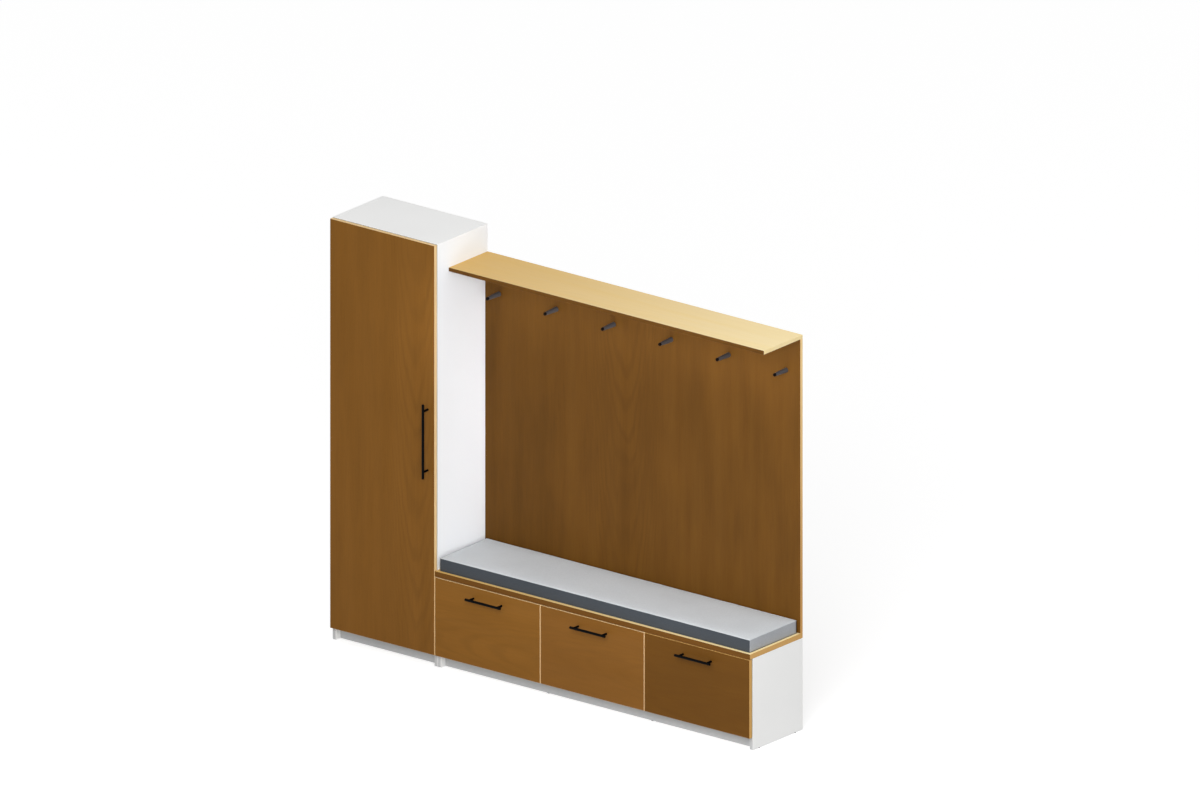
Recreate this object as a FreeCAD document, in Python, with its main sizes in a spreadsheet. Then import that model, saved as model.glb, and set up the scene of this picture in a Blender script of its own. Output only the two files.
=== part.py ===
import FreeCAD, Part
import os
import re
import Sketcher
from FreeCAD import Placement, Rotation, Vector

# A hallway wardrobe row: a tall one-door cabinet, a storage bench with three drawers and a
# seat cushion, and a wall panel with coat pegs under a hat shelf. +Z is up, +X runs from the
# tall cabinet to the end of the bench, +Y points at the wall. The origin is on the floor, in
# the middle of the row's width and of its depth with the handles. All sizes are millimetres.

SIZES = {
    # The row
    "wardrobe_width": 600,
    "wardrobe_height": 2006,
    "bench_width": 1800,
    "seat_board_height": 462,
    "carcass_depth": 359,
    "board": 18,
    "seat_board_thickness": 25,
    "back_thickness": 3,
    "plinth_height": 60,
    "plinth_setback": 33,
    "glide_height": 3,
    "glide_diameter": 16,
    "edge_ease": 1,
    # Door and drawer fronts
    "front_gap": 3,
    "front_thickness": 18,
    "reveal": 2,
    "drawer_top_gap": 3,
    # Shelves, coat rail and wall rail inside the tall cabinet
    "hat_shelf_drop": 306,
    "shoe_shelf_height": 350,
    "shelf_play": 1,
    "shelf_setback": 20,
    "pin_diameter": 5,
    "pin_length": 8,
    "pin_inset": 60,
    "pin_pitch": 32,
    "pin_tongue_length": 10,
    "pin_tongue_width": 9,
    "pin_tongue_thickness": 1.5,
    "rail_diameter": 25,
    "rail_wall": 1.5,
    "rail_end_space": 30,
    "rail_drop": 45,
    "bracket_wall": 3,
    "bracket_width": 12,
    "bracket_plate_length": 50,
    "bracket_plate_width": 26,
    "bracket_inset": 40,
    "wall_rail_height": 100,
    "wall_hole_diameter": 8,
    "wall_hole_inset": 60,
    # Cams, bolts and dowels
    "cam_diameter": 15,
    "cam_floor": 3.5,
    "cam_setback": 34,
    "cam_inset": 50,
    "cam_slot_width": 1.6,
    "cam_slot_depth": 3,
    "dowel_inset": 82,
    "dowel_diameter": 8,
    "dowel_length": 30,
    "dowel_cover": 6,
    "dowel_chamfer": 1,
    "bolt_head_diameter": 7,
    "bolt_head_length": 5,
    "bolt_neck_diameter": 4,
    "bolt_neck_length": 6,
    "bolt_shank_diameter": 7,
    "bolt_thread_diameter": 5,
    "bolt_thread_length": 11,
    "bolt_bore_diameter": 7.6,
    "fit": 0.1,
    "bore_play": 0.5,
    # Handles and their screws
    "handle_diameter": 12,
    "handle_post_diameter": 10,
    "handle_standoff": 35,
    "handle_end_ease": 1,
    "door_handle_length": 352,
    "door_handle_overhang": 32,
    "door_handle_inset": 38,
    "door_handle_height": 1076,
    "drawer_handle_length": 200,
    "drawer_handle_overhang": 20,
    "drawer_handle_drop": 53,
    "screw_diameter": 4,
    "screw_length": 25,
    "screw_head_diameter": 8,
    "screw_head_height": 2.4,
    "screw_recess_diameter": 3,
    "screw_recess_depth": 1.4,
    # Door hinges
    "hinge_count": 4,
    "hinge_inset": 90,
    "pivot_inset": 7.6,
    "pivot_depth": 9.8,
    "cup_diameter": 35,
    "cup_floor": 0.55,
    "cup_margin": 3,
    "cup_flange_height": 62,
    "cup_flange_width": 17,
    "cup_flange_thickness": 1.2,
    "hinge_pin_diameter": 3,
    "hinge_pin_length": 18,
    "pin_running_fit": 0.05,
    "arm_boss_wall": 1.2,
    "arm_width": 10,
    "arm_thickness": 3.5,
    "arm_sink": 2.4,
    "arm_clearance": 0.4,
    "arm_plate_thickness": 3,
    "arm_plate_height": 28,
    "arm_plate_length": 44,
    "arm_plate_setback": 4,
    # Drawers and their runners
    "drawer_count": 3,
    "drawer_side_thickness": 12,
    "drawer_box_height": 250,
    "drawer_rear_space": 29,
    "drawer_box_rise": 14,
    "drawer_floor_thickness": 5,
    "drawer_floor_rise": 10,
    "groove_depth": 6,
    "glue_gap": 0.1,
    "corner_screw_inset": 40,
    "runner_space": 13,
    "runner_height": 45.5,
    "runner_end_space": 3,
    "runner_setback": 4,
    "runner_wall": 1.2,
    "runner_gap": 0.5,
    "runner_tip_space": 3.5,
    # Wall panel, top shelf and pegs
    "wall_panel_height": 1395,
    "top_shelf_depth": 280,
    "panel_fixing_count": 5,
    "panel_fixing_inset": 110,
    "peg_count": 6,
    "peg_inset": 80,
    "peg_drop": 162,
    "peg_length": 88,
    "peg_base_diameter": 23,
    "peg_tip_diameter": 15,
    "peg_ease": 1.5,
    "peg_screw_diameter": 6,
    "peg_screw_grip": 15,
    "peg_screw_head_diameter": 11,
    "peg_screw_head_height": 4,
    "peg_counterbore_depth": 5,
    # Seat cushion
    "cushion_end_space": 15,
    "cushion_front_space": 20,
    "cushion_height": 60,
    "cushion_crown": 5,
    "cushion_draw_in": 3,
    "cushion_side_swell": 2,
    "cushion_rear_space": 2,
    "soft_gap": 0.3,
}

PLACES = {
    "wall": "(carcass_depth + front_gap + front_thickness + handle_standoff + handle_diameter / 2) / 2",
    "carcass_front": "wall - carcass_depth",
    "front_rear": "carcass_front - front_gap",
    "front_face": "front_rear - front_thickness",
    "inner_depth": "carcass_depth - back_thickness",
    "row_left": "-(wardrobe_width + bench_width) / 2",
    "wardrobe_right": "row_left + wardrobe_width",
    "row_right": "wardrobe_right + bench_width",
    "wardrobe_inner_width": "wardrobe_width - 2 * board",
    "bench_inner_width": "bench_width - 2 * board",
    "bench_height": "seat_board_height - seat_board_thickness",
    "upright_height": "bench_height - glide_height",
    "divider_height": "bench_height - plinth_height - board",
    "cell_width": "(bench_inner_width - (drawer_count - 1) * board) / drawer_count",
    "shelf_underside": "seat_board_height + wall_panel_height",
    "hat_shelf_height": "wardrobe_height - hat_shelf_drop",
    "peg_height": "shelf_underside - peg_drop",
    "peg_pitch": "(bench_width - 2 * peg_inset) / (peg_count - 1)",
    "front_bottom": "plinth_height + reveal",
    "door_width": "wardrobe_width - 2 * reveal",
    "door_height": "wardrobe_height - reveal - front_bottom",
    "drawer_front_height": "bench_height - drawer_top_gap - front_bottom",
    "cam_rear_row": "carcass_depth - cam_inset",
    "dowel_rear_row": "carcass_depth - dowel_inset",
    "cam_depth": "board / 2 + cam_floor",
    "cam_bore": "cam_diameter + 2 * fit",
    "dowel_bore": "dowel_diameter + 2 * fit",
    "thread_bore": "bolt_thread_diameter + 2 * fit",
    "screw_bore": "screw_diameter + 2 * fit",
    "pin_bore": "pin_diameter + 2 * fit",
    "dowel_grip": "board - dowel_cover",
    "dowel_face_depth": "dowel_grip + bore_play",
    "dowel_end_depth": "dowel_length - dowel_grip + bore_play",
    "thread_hole_depth": "bolt_thread_length + bore_play",
    "hinge_pitch": "(door_height - 2 * hinge_inset) / (hinge_count - 1)",
    "pivot_across": "row_left + reveal + pivot_inset",
    "pivot_back": "front_rear - pivot_depth",
    "cup_centre": "cup_margin + cup_diameter / 2 - pivot_inset",
    "plate_inner": "board - reveal - pivot_inset",
    "leg_inner": "plate_inner + arm_plate_thickness",
    "leg_outer": "leg_inner + arm_thickness",
    "plate_front": "pivot_depth + front_gap + arm_plate_setback",
    "plate_rear": "plate_front + arm_plate_length",
    "boss_diameter": "hinge_pin_diameter + 2 * pin_running_fit + 2 * arm_boss_wall",
    "cup_depth": "pivot_depth + boss_diameter / 2 + arm_clearance + cup_floor",
    "box_width": "cell_width - 2 * runner_space",
    "box_inner_width": "box_width - 2 * drawer_side_thickness",
    "box_bottom": "plinth_height + board + drawer_box_rise",
    "box_floor_top": "drawer_floor_rise + drawer_floor_thickness",
    "box_rear": "wall - back_thickness - drawer_rear_space",
    "box_side_length": "box_rear - front_rear + groove_depth",
    "box_back_height": "drawer_box_height - box_floor_top",
    "groove_height": "drawer_floor_thickness + 2 * glue_gap",
    "runner_middle": "box_bottom + drawer_box_height / 2",
    "runner_front": "carcass_front + runner_setback",
    "runner_length": "box_rear - runner_end_space - runner_front",
    "runner_reach": "runner_space - runner_tip_space",
    "panel_fixing_pitch": "(bench_width - 2 * panel_fixing_inset) / (panel_fixing_count - 1)",
    "door_handle_spacing": "door_handle_length - 2 * door_handle_overhang",
    "drawer_handle_spacing": "drawer_handle_length - 2 * drawer_handle_overhang",
    "seat_depth": "carcass_depth + front_gap + front_thickness",
    "cushion_depth": "seat_depth - board - cushion_rear_space - cushion_front_space",
    "rail_middle": "hat_shelf_height - rail_drop",
    "rail_length": "inner_depth - 2 * rail_end_space",
    "ring_bore": "rail_diameter + 2 * fit",
    "ring_diameter": "ring_bore + 2 * bracket_wall",
}

ACROSS = Vector(1, 0, 0)
BACK = Vector(0, 1, 0)
UP = Vector(0, 0, 1)
DRAWER_NAMES = ("left", "centre", "right")
# A sketch numbers the points of its lines and circles, and its own two axes, like this
LINE_START, LINE_END, CIRCLE_CENTRE = range(1, 4)
AXIS_ACROSS, AXIS_UP = range(-1, -3, -1)

doc = FreeCAD.newDocument("hallway_wardrobe")
sheet = doc.addObject("Spreadsheet::Sheet", "Sizes")
for row, (name, size) in enumerate(SIZES.items(), start=1):
    sheet.set(f"A{row}", name)
    sheet.set(f"B{row}", str(size))
    sheet.setAlias(f"B{row}", name)
places = doc.addObject("App::VarSet", "Places")


def bound(text):
    """Write a formula's plain names as references to the sheet and to the worked-out places."""
    def reference(match):
        word = match.group()
        if word in SIZES:
            return f"Sizes.{word}"
        return f"Places.{word}" if word in PLACES else word
    return re.sub(r"[a-z][a-z_]+", reference, text)


for name, formula in PLACES.items():
    places.addProperty("App::PropertyFloat", name, "Places", "")
    places.setExpression(name, bound(formula))
doc.recompute()


def value(text):
    """Give a formula's number for the sizes now in the sheet."""
    return float(sheet.evalExpression(bound(text)))


def bind(item, path, text):
    """Bind one property of an object to a formula."""
    item.setExpression(path, bound(text))


def seat(item, at, turn=None):
    """Put an object at a bound corner or centre, turned by a fixed rotation."""
    item.Placement = Placement(Vector(*(value(text) for text in at)), turn or Rotation())
    for axis, text in zip("xyz", at):
        bind(item, f"Placement.Base.{axis}", text)


def facing(along, out):
    """Turn a piece so that its own X runs along one direction and its own Z points out of a face."""
    return Rotation(along, out.cross(along), out, "ZXY")


sub_parts = []
cuts = []
cam_spots = []
dowel_spots = []


class Piece:
    """A body that is built up from sketches whose sizes are bound to the sheet."""

    def __init__(self, label, at=("0", "0", "0"), turn=None):
        self.body = doc.addObject("PartDesign::Body", label)
        self.body.Label = label
        seat(self.body, at, turn)

    def pin_point(self, sketch, geometry, point, across, up):
        """Hold one point of a sketch at a bound distance from the sketch's origin."""
        for kind, text, axis in (("DistanceX", across, AXIS_UP), ("DistanceY", up, AXIS_ACROSS)):
            if text == "0":
                sketch.addConstraint(Sketcher.Constraint("PointOnObject", geometry, point, axis))
                continue
            reach = Sketcher.Constraint(kind, AXIS_ACROSS, LINE_START, geometry, point, value(text))
            bind(sketch, f"Constraints[{sketch.addConstraint(reach)}]", text)

    def sketch(self, plane, level, circles=(), outlines=()):
        """Sketch circles (across, up, diameter) and closed outlines of points, a level off a plane."""
        sketch = self.body.newObject("Sketcher::SketchObject", f"{self.body.Name}_sketch")
        origin_plane = [face for face in self.body.Origin.OriginFeatures if face.Role == plane][0]
        sketch.AttachmentSupport = [(origin_plane, "")]
        sketch.MapMode = "FlatFace"
        bind(sketch, "AttachmentOffset.Base.z", level)
        for across, up, diameter in circles:
            centre = Vector(value(across), value(up), 0)
            circle = sketch.addGeometry(Part.Circle(centre, UP, value(diameter) / 2))
            self.pin_point(sketch, circle, CIRCLE_CENTRE, across, up)
            width = Sketcher.Constraint("Diameter", circle, value(diameter))
            bind(sketch, f"Constraints[{sketch.addConstraint(width)}]", diameter)
        for outline in outlines:
            corners = [Vector(value(across), value(up), 0) for across, up in outline]
            ends = corners[1:] + corners[:1]
            lines = [sketch.addGeometry(Part.LineSegment(*pair)) for pair in zip(corners, ends)]
            for line, following in zip(lines, lines[1:] + lines[:1]):
                joint = Sketcher.Constraint("Coincident", line, LINE_END, following, LINE_START)
                sketch.addConstraint(joint)
            for line, (across, up) in zip(lines, outline):
                self.pin_point(sketch, line, LINE_START, across, up)
        return sketch

    def pad(self, plane, level, length, **shapes):
        """Pad sketched shapes along the plane's normal."""
        profile = self.sketch(plane, level, **shapes)
        pad = self.body.newObject("PartDesign::Pad", f"{self.body.Name}_pad")
        pad.Profile = profile
        bind(pad, "Length", length)

    def cut(self, plane, level, depth, with_normal=False, **shapes):
        """Pocket sketched shapes against the plane's normal, or with it."""
        base = self.body.Tip
        profile = self.sketch(plane, level, **shapes)
        pocket = self.body.newObject("PartDesign::Pocket", f"{self.body.Name}_pocket")
        pocket.Profile = profile
        pocket.Reversed = with_normal
        bind(pocket, "Length", depth)
        cuts.append((base, pocket))

    def turn(self, plane, level, outline, axis):
        """Turn an outline round one of its sketch's own axes, H_Axis or V_Axis."""
        profile = self.sketch(plane, level, outlines=[outline])
        turned = self.body.newObject("PartDesign::Revolution", f"{self.body.Name}_turned")
        turned.Profile = profile
        turned.ReferenceAxis = (profile, [axis])

    def ease(self, radius, edges):
        """Round named edges of the newest feature."""
        base = self.body.Tip
        fillet = self.body.newObject("PartDesign::Fillet", f"{self.body.Name}_ease")
        fillet.Base = (base, edges)
        bind(fillet, "Radius", radius)

    def keep(self):
        """Count this body among the sub-parts that are written out."""
        sub_parts.append(self.body)
        return self


def rectangle(across, up, width, height):
    """Give the outline of a rectangle from its lower corner and its size."""
    right = f"{across} + {width}"
    top = f"{up} + {height}"
    return [(across, up), (right, up), (right, top), (across, top)]


class Board(Piece):
    """A rectangular board with its corner at its place, bored and grooved by named faces."""

    def __init__(self, label, size, at, eased=False):
        super().__init__(label, at)
        width, depth, height = size
        corners = [("0", "0"), (width, "0"), (width, depth), ("0", depth)]
        self.pad("XY_Plane", "0", height, outlines=[corners])
        if eased:
            self.ease("edge_ease", [f"Edge{number}" for number in range(1, 13)])
        self.faces = {
            "left": ("YZ_Plane", "0", True),
            "right": ("YZ_Plane", width, False),
            "front": ("XZ_Plane", "0", False),
            "rear": ("XZ_Plane", f"-({depth})", True),
            "bottom": ("XY_Plane", "0", True),
            "top": ("XY_Plane", height, False),
        }

    def bore(self, face, centres, diameter, depth):
        """Bore holes of one diameter and depth into a face."""
        plane, level, with_normal = self.faces[face]
        circles = [(across, up, diameter) for across, up in centres]
        self.cut(plane, level, depth, with_normal, circles=circles)

    def groove(self, face, across, up, width, height, depth):
        """Cut a rectangular recess into a face."""
        plane, level, with_normal = self.faces[face]
        self.cut(plane, level, depth, with_normal, outlines=[rectangle(across, up, width, height)])


def group(label, master, spots):
    """Place copies of one piece as the separate solids of one sub-part."""
    copies = []
    for number, (at, turn) in enumerate(spots, start=1):
        copy = doc.addObject("App::Link", f"{label}_{number}")
        copy.LinkedObject = master.body
        seat(copy, at, turn)
        copies.append(copy)
    return join(label, copies)


def join(label, members):
    """Hold several solids together as one sub-part."""
    compound = doc.addObject("Part::Compound", label)
    compound.Label = label
    compound.Links = members
    sub_parts.append(compound)
    return compound


CAM_ROWS = ("cam_inset", "cam_rear_row")
DOWEL_ROWS = ("dowel_inset", "dowel_rear_row")


def add_cam(across, back, up, along, out):
    """Note where a cam and its bolt go: the cam's centre, the bolt's direction, the way it faces."""
    cam_spots.append(((across, back, up), facing(along, out)))


def level_board(label, length, across, height, eased=False):
    """Make a board that cams and dowels hold between two uprights, with its cams underneath."""
    board = Board(label, (length, "inner_depth", "board"), (across, "carcass_front", height), eased)
    ends = (("left", "cam_setback", across, -ACROSS), ("right", f"{length} - cam_setback",
            f"{across} + {length}", ACROSS))
    for face, cam_across, joint_across, along in ends:
        board.bore(face, [(row, "board / 2") for row in CAM_ROWS], "bolt_bore_diameter", "cam_setback")
        board.bore(face, [(row, "board / 2") for row in DOWEL_ROWS], "dowel_bore", "dowel_end_depth")
        board.bore("bottom", [(cam_across, row) for row in CAM_ROWS], "cam_bore",
                   "cam_depth + bore_play")
        for row in CAM_ROWS:
            add_cam(f"{across} + {cam_across}", f"carcass_front + {row}", height, along, -UP)
        for row in DOWEL_ROWS:
            middle = (joint_across, f"carcass_front + {row}", f"{height} + board / 2")
            dowel_spots.append((middle, facing(-along, UP)))
    return board.keep()


def bore_for_level_boards(upright, face, heights):
    """Bore an upright for the bolts and dowels of the boards that meet it at these heights."""
    middles = [f"{height} + board / 2 - glide_height" for height in heights]
    bolts = [(row, middle) for middle in middles for row in CAM_ROWS]
    dowels = [(row, middle) for middle in middles for row in DOWEL_ROWS]
    upright.bore(face, bolts, "thread_bore", "thread_hole_depth")
    upright.bore(face, dowels, "dowel_bore", "dowel_face_depth")


def bore_for_seat_board(upright, across, foot, height, cam_face):
    """Bore an upright's top end for the seat board's bolts and dowels, with cams in one face."""
    upright.bore("top", [("board / 2", row) for row in CAM_ROWS], "bolt_bore_diameter", "cam_setback")
    upright.bore("top", [("board / 2", row) for row in DOWEL_ROWS], "dowel_bore", "dowel_end_depth")
    upright.bore(cam_face, [(row, f"{height} - cam_setback") for row in CAM_ROWS], "cam_bore",
                 "cam_depth + bore_play")
    face_across, out = (f"{across} + board", ACROSS) if cam_face == "right" else (across, -ACROSS)
    for row in CAM_ROWS:
        add_cam(face_across, f"carcass_front + {row}", f"{foot} + {height} - cam_setback", UP, out)
    for row in DOWEL_ROWS:
        middle = (f"{across} + board / 2", f"carcass_front + {row}", "bench_height")
        dowel_spots.append((middle, facing(-UP, ACROSS)))


# The tall cabinet's carcass
wardrobe_levels = ("plinth_height", "hat_shelf_height", "wardrobe_height - board")
side_size = ("board", "carcass_depth", "wardrobe_height - glide_height")
wardrobe_sides = (("wardrobe_left_side", "row_left", "right"),
                  ("wardrobe_right_side", "wardrobe_right - board", "left"))
shelf_pin_rows = ("pin_inset", "carcass_depth - pin_inset")
shelf_pin_height = "shoe_shelf_height - pin_diameter / 2"
for label, across, inner_face in wardrobe_sides:
    side = Board(label, side_size, (across, "carcass_front", "glide_height"), eased=True)
    bore_for_level_boards(side, inner_face, wardrobe_levels)
    steps = [f"{shelf_pin_height} - glide_height + {step} * pin_pitch" for step in range(-2, 3)]
    pin_holes = [(row, step) for row in shelf_pin_rows for step in steps]
    side.bore(inner_face, pin_holes, "pin_bore", "pin_length + bore_play")
    side.keep()

inner_left = "row_left + board"
level_board("wardrobe_top", "wardrobe_inner_width", inner_left, "wardrobe_height - board", eased=True)
level_board("wardrobe_bottom", "wardrobe_inner_width", inner_left, "plinth_height")
level_board("hat_shelf", "wardrobe_inner_width", inner_left, "hat_shelf_height")

wall_hole_height = "wardrobe_height - board - wall_rail_height / 2"
wall_holes_across = ("wall_hole_inset", "wardrobe_inner_width - wall_hole_inset")
back = Board("wardrobe_back", ("wardrobe_inner_width", "back_thickness", "wardrobe_height - plinth_height"),
             (inner_left, "wall - back_thickness", "plinth_height"))
back.bore("front", [(across, f"{wall_hole_height} - plinth_height") for across in wall_holes_across],
          "wall_hole_diameter", "back_thickness")
back.keep()

wall_rail = Board("wall_rail", ("wardrobe_inner_width", "board", "wall_rail_height"),
                  (inner_left, "carcass_front + inner_depth - board",
                   "wardrobe_height - board - wall_rail_height"))
wall_rail.bore("front", [(across, "wall_rail_height / 2") for across in wall_holes_across],
               "wall_hole_diameter", "board")
wall_rail.keep()

Board("wardrobe_plinth", ("wardrobe_inner_width", "board", "plinth_height - glide_height"),
      (inner_left, "carcass_front + plinth_setback", "glide_height")).keep()

Board("shoe_shelf", ("wardrobe_inner_width - 2 * shelf_play", "inner_depth - shelf_setback", "board"),
      ("row_left + board + shelf_play", "carcass_front + shelf_setback", "shoe_shelf_height")).keep()

# Shelf pins: a peg in the upright with a flat tongue under the shelf
shelf_pin = Piece("shelf_pin")
shelf_pin.pad("YZ_Plane", "-pin_length", "pin_length + pin_tongue_length",
              circles=[("0", "0", "pin_diameter")])
shelf_pin.cut("YZ_Plane", "pin_tongue_length", "pin_tongue_length",
              outlines=[rectangle("-pin_diameter", "-pin_diameter", "2 * pin_diameter",
                                  "pin_diameter * 3 / 2 - pin_tongue_thickness")])
shelf_pin.pad("YZ_Plane", "0", "pin_tongue_length",
              outlines=[rectangle("-pin_tongue_width / 2", "pin_diameter / 2 - pin_tongue_thickness",
                                  "pin_tongue_width", "pin_tongue_thickness")])
shelf_pin_spots = []
for row in shelf_pin_rows:
    back_to = f"carcass_front + {row}"
    shelf_pin_spots.append((("row_left + board", back_to, shelf_pin_height), Rotation()))
    shelf_pin_spots.append((("wardrobe_right - board", back_to, shelf_pin_height), facing(-ACROSS, UP)))
group("shelf_pins", shelf_pin, shelf_pin_spots)

# Coat rail, front to back under the hat shelf, in two ring brackets
rail_across = "(row_left + wardrobe_right) / 2"
coat_rail = Piece("coat_rail", (rail_across, "carcass_front + rail_end_space", "rail_middle"))
coat_rail.pad("XZ_Plane", "-rail_length", "rail_length",
              circles=[("0", "0", "rail_diameter"), ("0", "0", "rail_diameter - 2 * rail_wall")])
coat_rail.keep()

bracket = Piece("coat_rail_bracket")
bracket.pad("XZ_Plane", "-bracket_width / 2", "bracket_width", circles=[("0", "0", "ring_diameter")])
bracket.pad("XZ_Plane", "-bracket_width / 2", "bracket_width",
            outlines=[rectangle("-bracket_width / 2", "rail_diameter / 2", "bracket_width",
                                "rail_drop - rail_diameter / 2")])
bracket.pad("XY_Plane", "rail_drop - bracket_wall", "bracket_wall",
            outlines=[rectangle("-bracket_plate_length / 2", "-bracket_plate_width / 2",
                                "bracket_plate_length", "bracket_plate_width")])
bracket.cut("XZ_Plane", "bracket_width / 2", "bracket_width", circles=[("0", "0", "ring_bore")])
group("coat_rail_brackets", bracket,
      [((rail_across, f"carcass_front + {row}", "rail_middle"), Rotation())
       for row in ("rail_end_space + bracket_inset", "rail_end_space + rail_length - bracket_inset")])

# The door, its handle and its hinges
hinge_heights = [f"front_bottom + hinge_inset + {number} * hinge_pitch"
                 for number in range(round(value("hinge_count")))]
door = Board("door_panel", ("door_width", "front_thickness", "door_height"),
             ("row_left + reveal", "front_face", "front_bottom"), eased=True)
door.bore("rear", [("cup_margin + cup_diameter / 2", f"{height} - front_bottom") for height in hinge_heights],
          "cup_diameter + 2 * fit", "cup_depth + fit")
door_handle_across = "row_left + reveal + door_width - door_handle_inset"
post_steps = ("-door_handle_spacing / 2", "door_handle_spacing / 2")
door.bore("rear", [("door_width - door_handle_inset", f"door_handle_height - front_bottom + {step}")
                   for step in post_steps], "screw_bore", "front_thickness")
door.keep()


def bar_handle(label, at, upright, length, spacing):
    """Make a round bar handle on two posts, standing off the face at its place."""
    handle = Piece(label, at)
    ends = (f"-({spacing}) / 2", f"{spacing} / 2")
    if upright:
        plane, bar = "XY_Plane", ("0", "-handle_standoff", "handle_diameter")
        posts = [("0", end) for end in ends]
    else:
        plane, bar = "YZ_Plane", ("-handle_standoff", "0", "handle_diameter")
        posts = [(end, "0") for end in ends]
    handle.pad(plane, f"-({length}) / 2", length, circles=[bar])
    handle.ease("handle_end_ease", ["Edge1", "Edge3"])
    handle.pad("XZ_Plane", "0", "handle_standoff",
               circles=[(across, up, "handle_post_diameter") for across, up in posts])
    handle.cut("XZ_Plane", "0", "screw_length - front_thickness + bore_play", with_normal=True,
               circles=[(across, up, "screw_bore") for across, up in posts])
    handle.keep()


bar_handle("door_handle", (door_handle_across, "front_face", "door_handle_height"), True,
           "door_handle_length", "door_handle_spacing")

screw = Piece("pan_head_screw")
screw.turn("XY_Plane", "0", [("0", "-screw_length"), ("screw_diameter / 2", "-screw_length"),
                             ("screw_diameter / 2", "0"), ("screw_head_diameter / 2", "0"),
                             ("screw_head_diameter / 2", "screw_head_height / 2"),
                             ("screw_diameter / 2", "screw_head_height"), ("0", "screw_head_height")],
           "V_Axis")
screw.cut("XZ_Plane", "-screw_head_height", "screw_recess_depth", with_normal=True,
          outlines=[rectangle("-screw_recess_diameter / 2", "-screw_recess_diameter / 2",
                              "screw_recess_diameter", "screw_recess_diameter")])
group("door_handle_screws", screw,
      [((door_handle_across, "front_rear", f"door_handle_height + {step}"), Rotation())
       for step in post_steps])

# Hinge: a cup in the door, a pin across it and an arm on the cabinet's side, seen from the pin
slot_width = "arm_width + 2 * arm_clearance"
slot_left = "-(boss_diameter / 2 + arm_clearance)"
cup = Piece("hinge_cup")
cup.pad("XZ_Plane", "-pivot_depth", "cup_depth", circles=[("cup_centre", "0", "cup_diameter")])
cup.pad("XZ_Plane", "-(pivot_depth + cup_flange_thickness)", "cup_flange_thickness",
        outlines=[rectangle("cup_centre - cup_flange_width / 2", "-cup_flange_height / 2",
                            "cup_flange_width", "cup_flange_height")])
cup.cut("XZ_Plane", "-(pivot_depth + cup_flange_thickness)",
        "pivot_depth + cup_flange_thickness + boss_diameter / 2 + arm_clearance", with_normal=True,
        outlines=[rectangle(slot_left, f"-({slot_width}) / 2",
                            "leg_outer + 2 * arm_clearance + boss_diameter / 2", slot_width)])
cup.cut("XY_Plane", "hinge_pin_length / 2", "hinge_pin_length", circles=[("0", "0", "hinge_pin_diameter")])

hinge_pin = Piece("hinge_pin")
hinge_pin.pad("XY_Plane", "-hinge_pin_length / 2", "hinge_pin_length",
              circles=[("0", "0", "hinge_pin_diameter")])

arm = Piece("hinge_arm")
arm.pad("XY_Plane", "-arm_width / 2", "arm_width",
        outlines=[[("0", "-arm_sink"), ("leg_outer", "-arm_sink"), ("leg_outer", "plate_rear"),
                   ("leg_inner", "plate_rear"), ("leg_inner", "arm_thickness - arm_sink"),
                   ("0", "arm_thickness - arm_sink")]])
arm.pad("XY_Plane", "-arm_width / 2", "arm_width", circles=[("0", "0", "boss_diameter")])
arm.pad("XY_Plane", "-arm_plate_height / 2", "arm_plate_height",
        outlines=[rectangle("plate_inner", "plate_front", "arm_plate_thickness", "arm_plate_length")])
arm.cut("XY_Plane", "arm_width / 2", "arm_width",
        circles=[("0", "0", "hinge_pin_diameter + 2 * pin_running_fit")])

hinge_spots = [(("pivot_across", "pivot_back", height), Rotation()) for height in hinge_heights]
group("hinge_cups", cup, hinge_spots)
group("hinge_pins", hinge_pin, hinge_spots)
group("hinge_arms", arm, hinge_spots)

# The bench carcass
side_cams = (("bench_left_side", "wardrobe_right", "right"),
             ("bench_right_side", "row_right - board", "left"))
for label, across, inner_face in side_cams:
    side = Board(label, ("board", "carcass_depth", "upright_height"),
                 (across, "carcass_front", "glide_height"), eased=True)
    bore_for_level_boards(side, inner_face, ("plinth_height",))
    bore_for_seat_board(side, across, "glide_height", "upright_height", inner_face)
    side.keep()

divider_steps = [f"{number} * (cell_width + board)" for number in range(1, round(value("drawer_count")))]
dividers = list(zip(("bench_left_divider", "bench_right_divider"), divider_steps, ("right", "left")))
for label, step, cam_face in dividers:
    across = f"wardrobe_right + {step}"
    foot = "plinth_height + board"
    divider = Board(label, ("board", "inner_depth", "divider_height"), (across, "carcass_front", foot))
    bore_for_seat_board(divider, across, foot, "divider_height", cam_face)
    divider.bore("bottom", [("board / 2", row) for row in DOWEL_ROWS], "dowel_bore", "dowel_end_depth")
    for row in DOWEL_ROWS:
        middle = (f"{across} + board / 2", f"carcass_front + {row}", foot)
        dowel_spots.append((middle, facing(UP, ACROSS)))
    divider.keep()

bench_bottom = level_board("bench_bottom", "bench_inner_width", "wardrobe_right + board", "plinth_height")
bench_bottom.bore("top", [(f"{step} - board / 2", row) for step in divider_steps for row in DOWEL_ROWS],
                  "dowel_bore", "dowel_face_depth")

Board("bench_back", ("bench_inner_width", "back_thickness", "bench_height - plinth_height"),
      ("wardrobe_right + board", "wall - back_thickness", "plinth_height")).keep()

plinths = []
for name, back_to in (("front", "plinth_setback"), ("rear", "inner_depth - board")):
    plinth = Board(f"bench_{name}_plinth", ("bench_inner_width", "board", "plinth_height - glide_height"),
                   ("wardrobe_right + board", f"carcass_front + {back_to}", "glide_height"))
    plinths.append(plinth.body)
join("bench_plinths", plinths)

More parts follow.
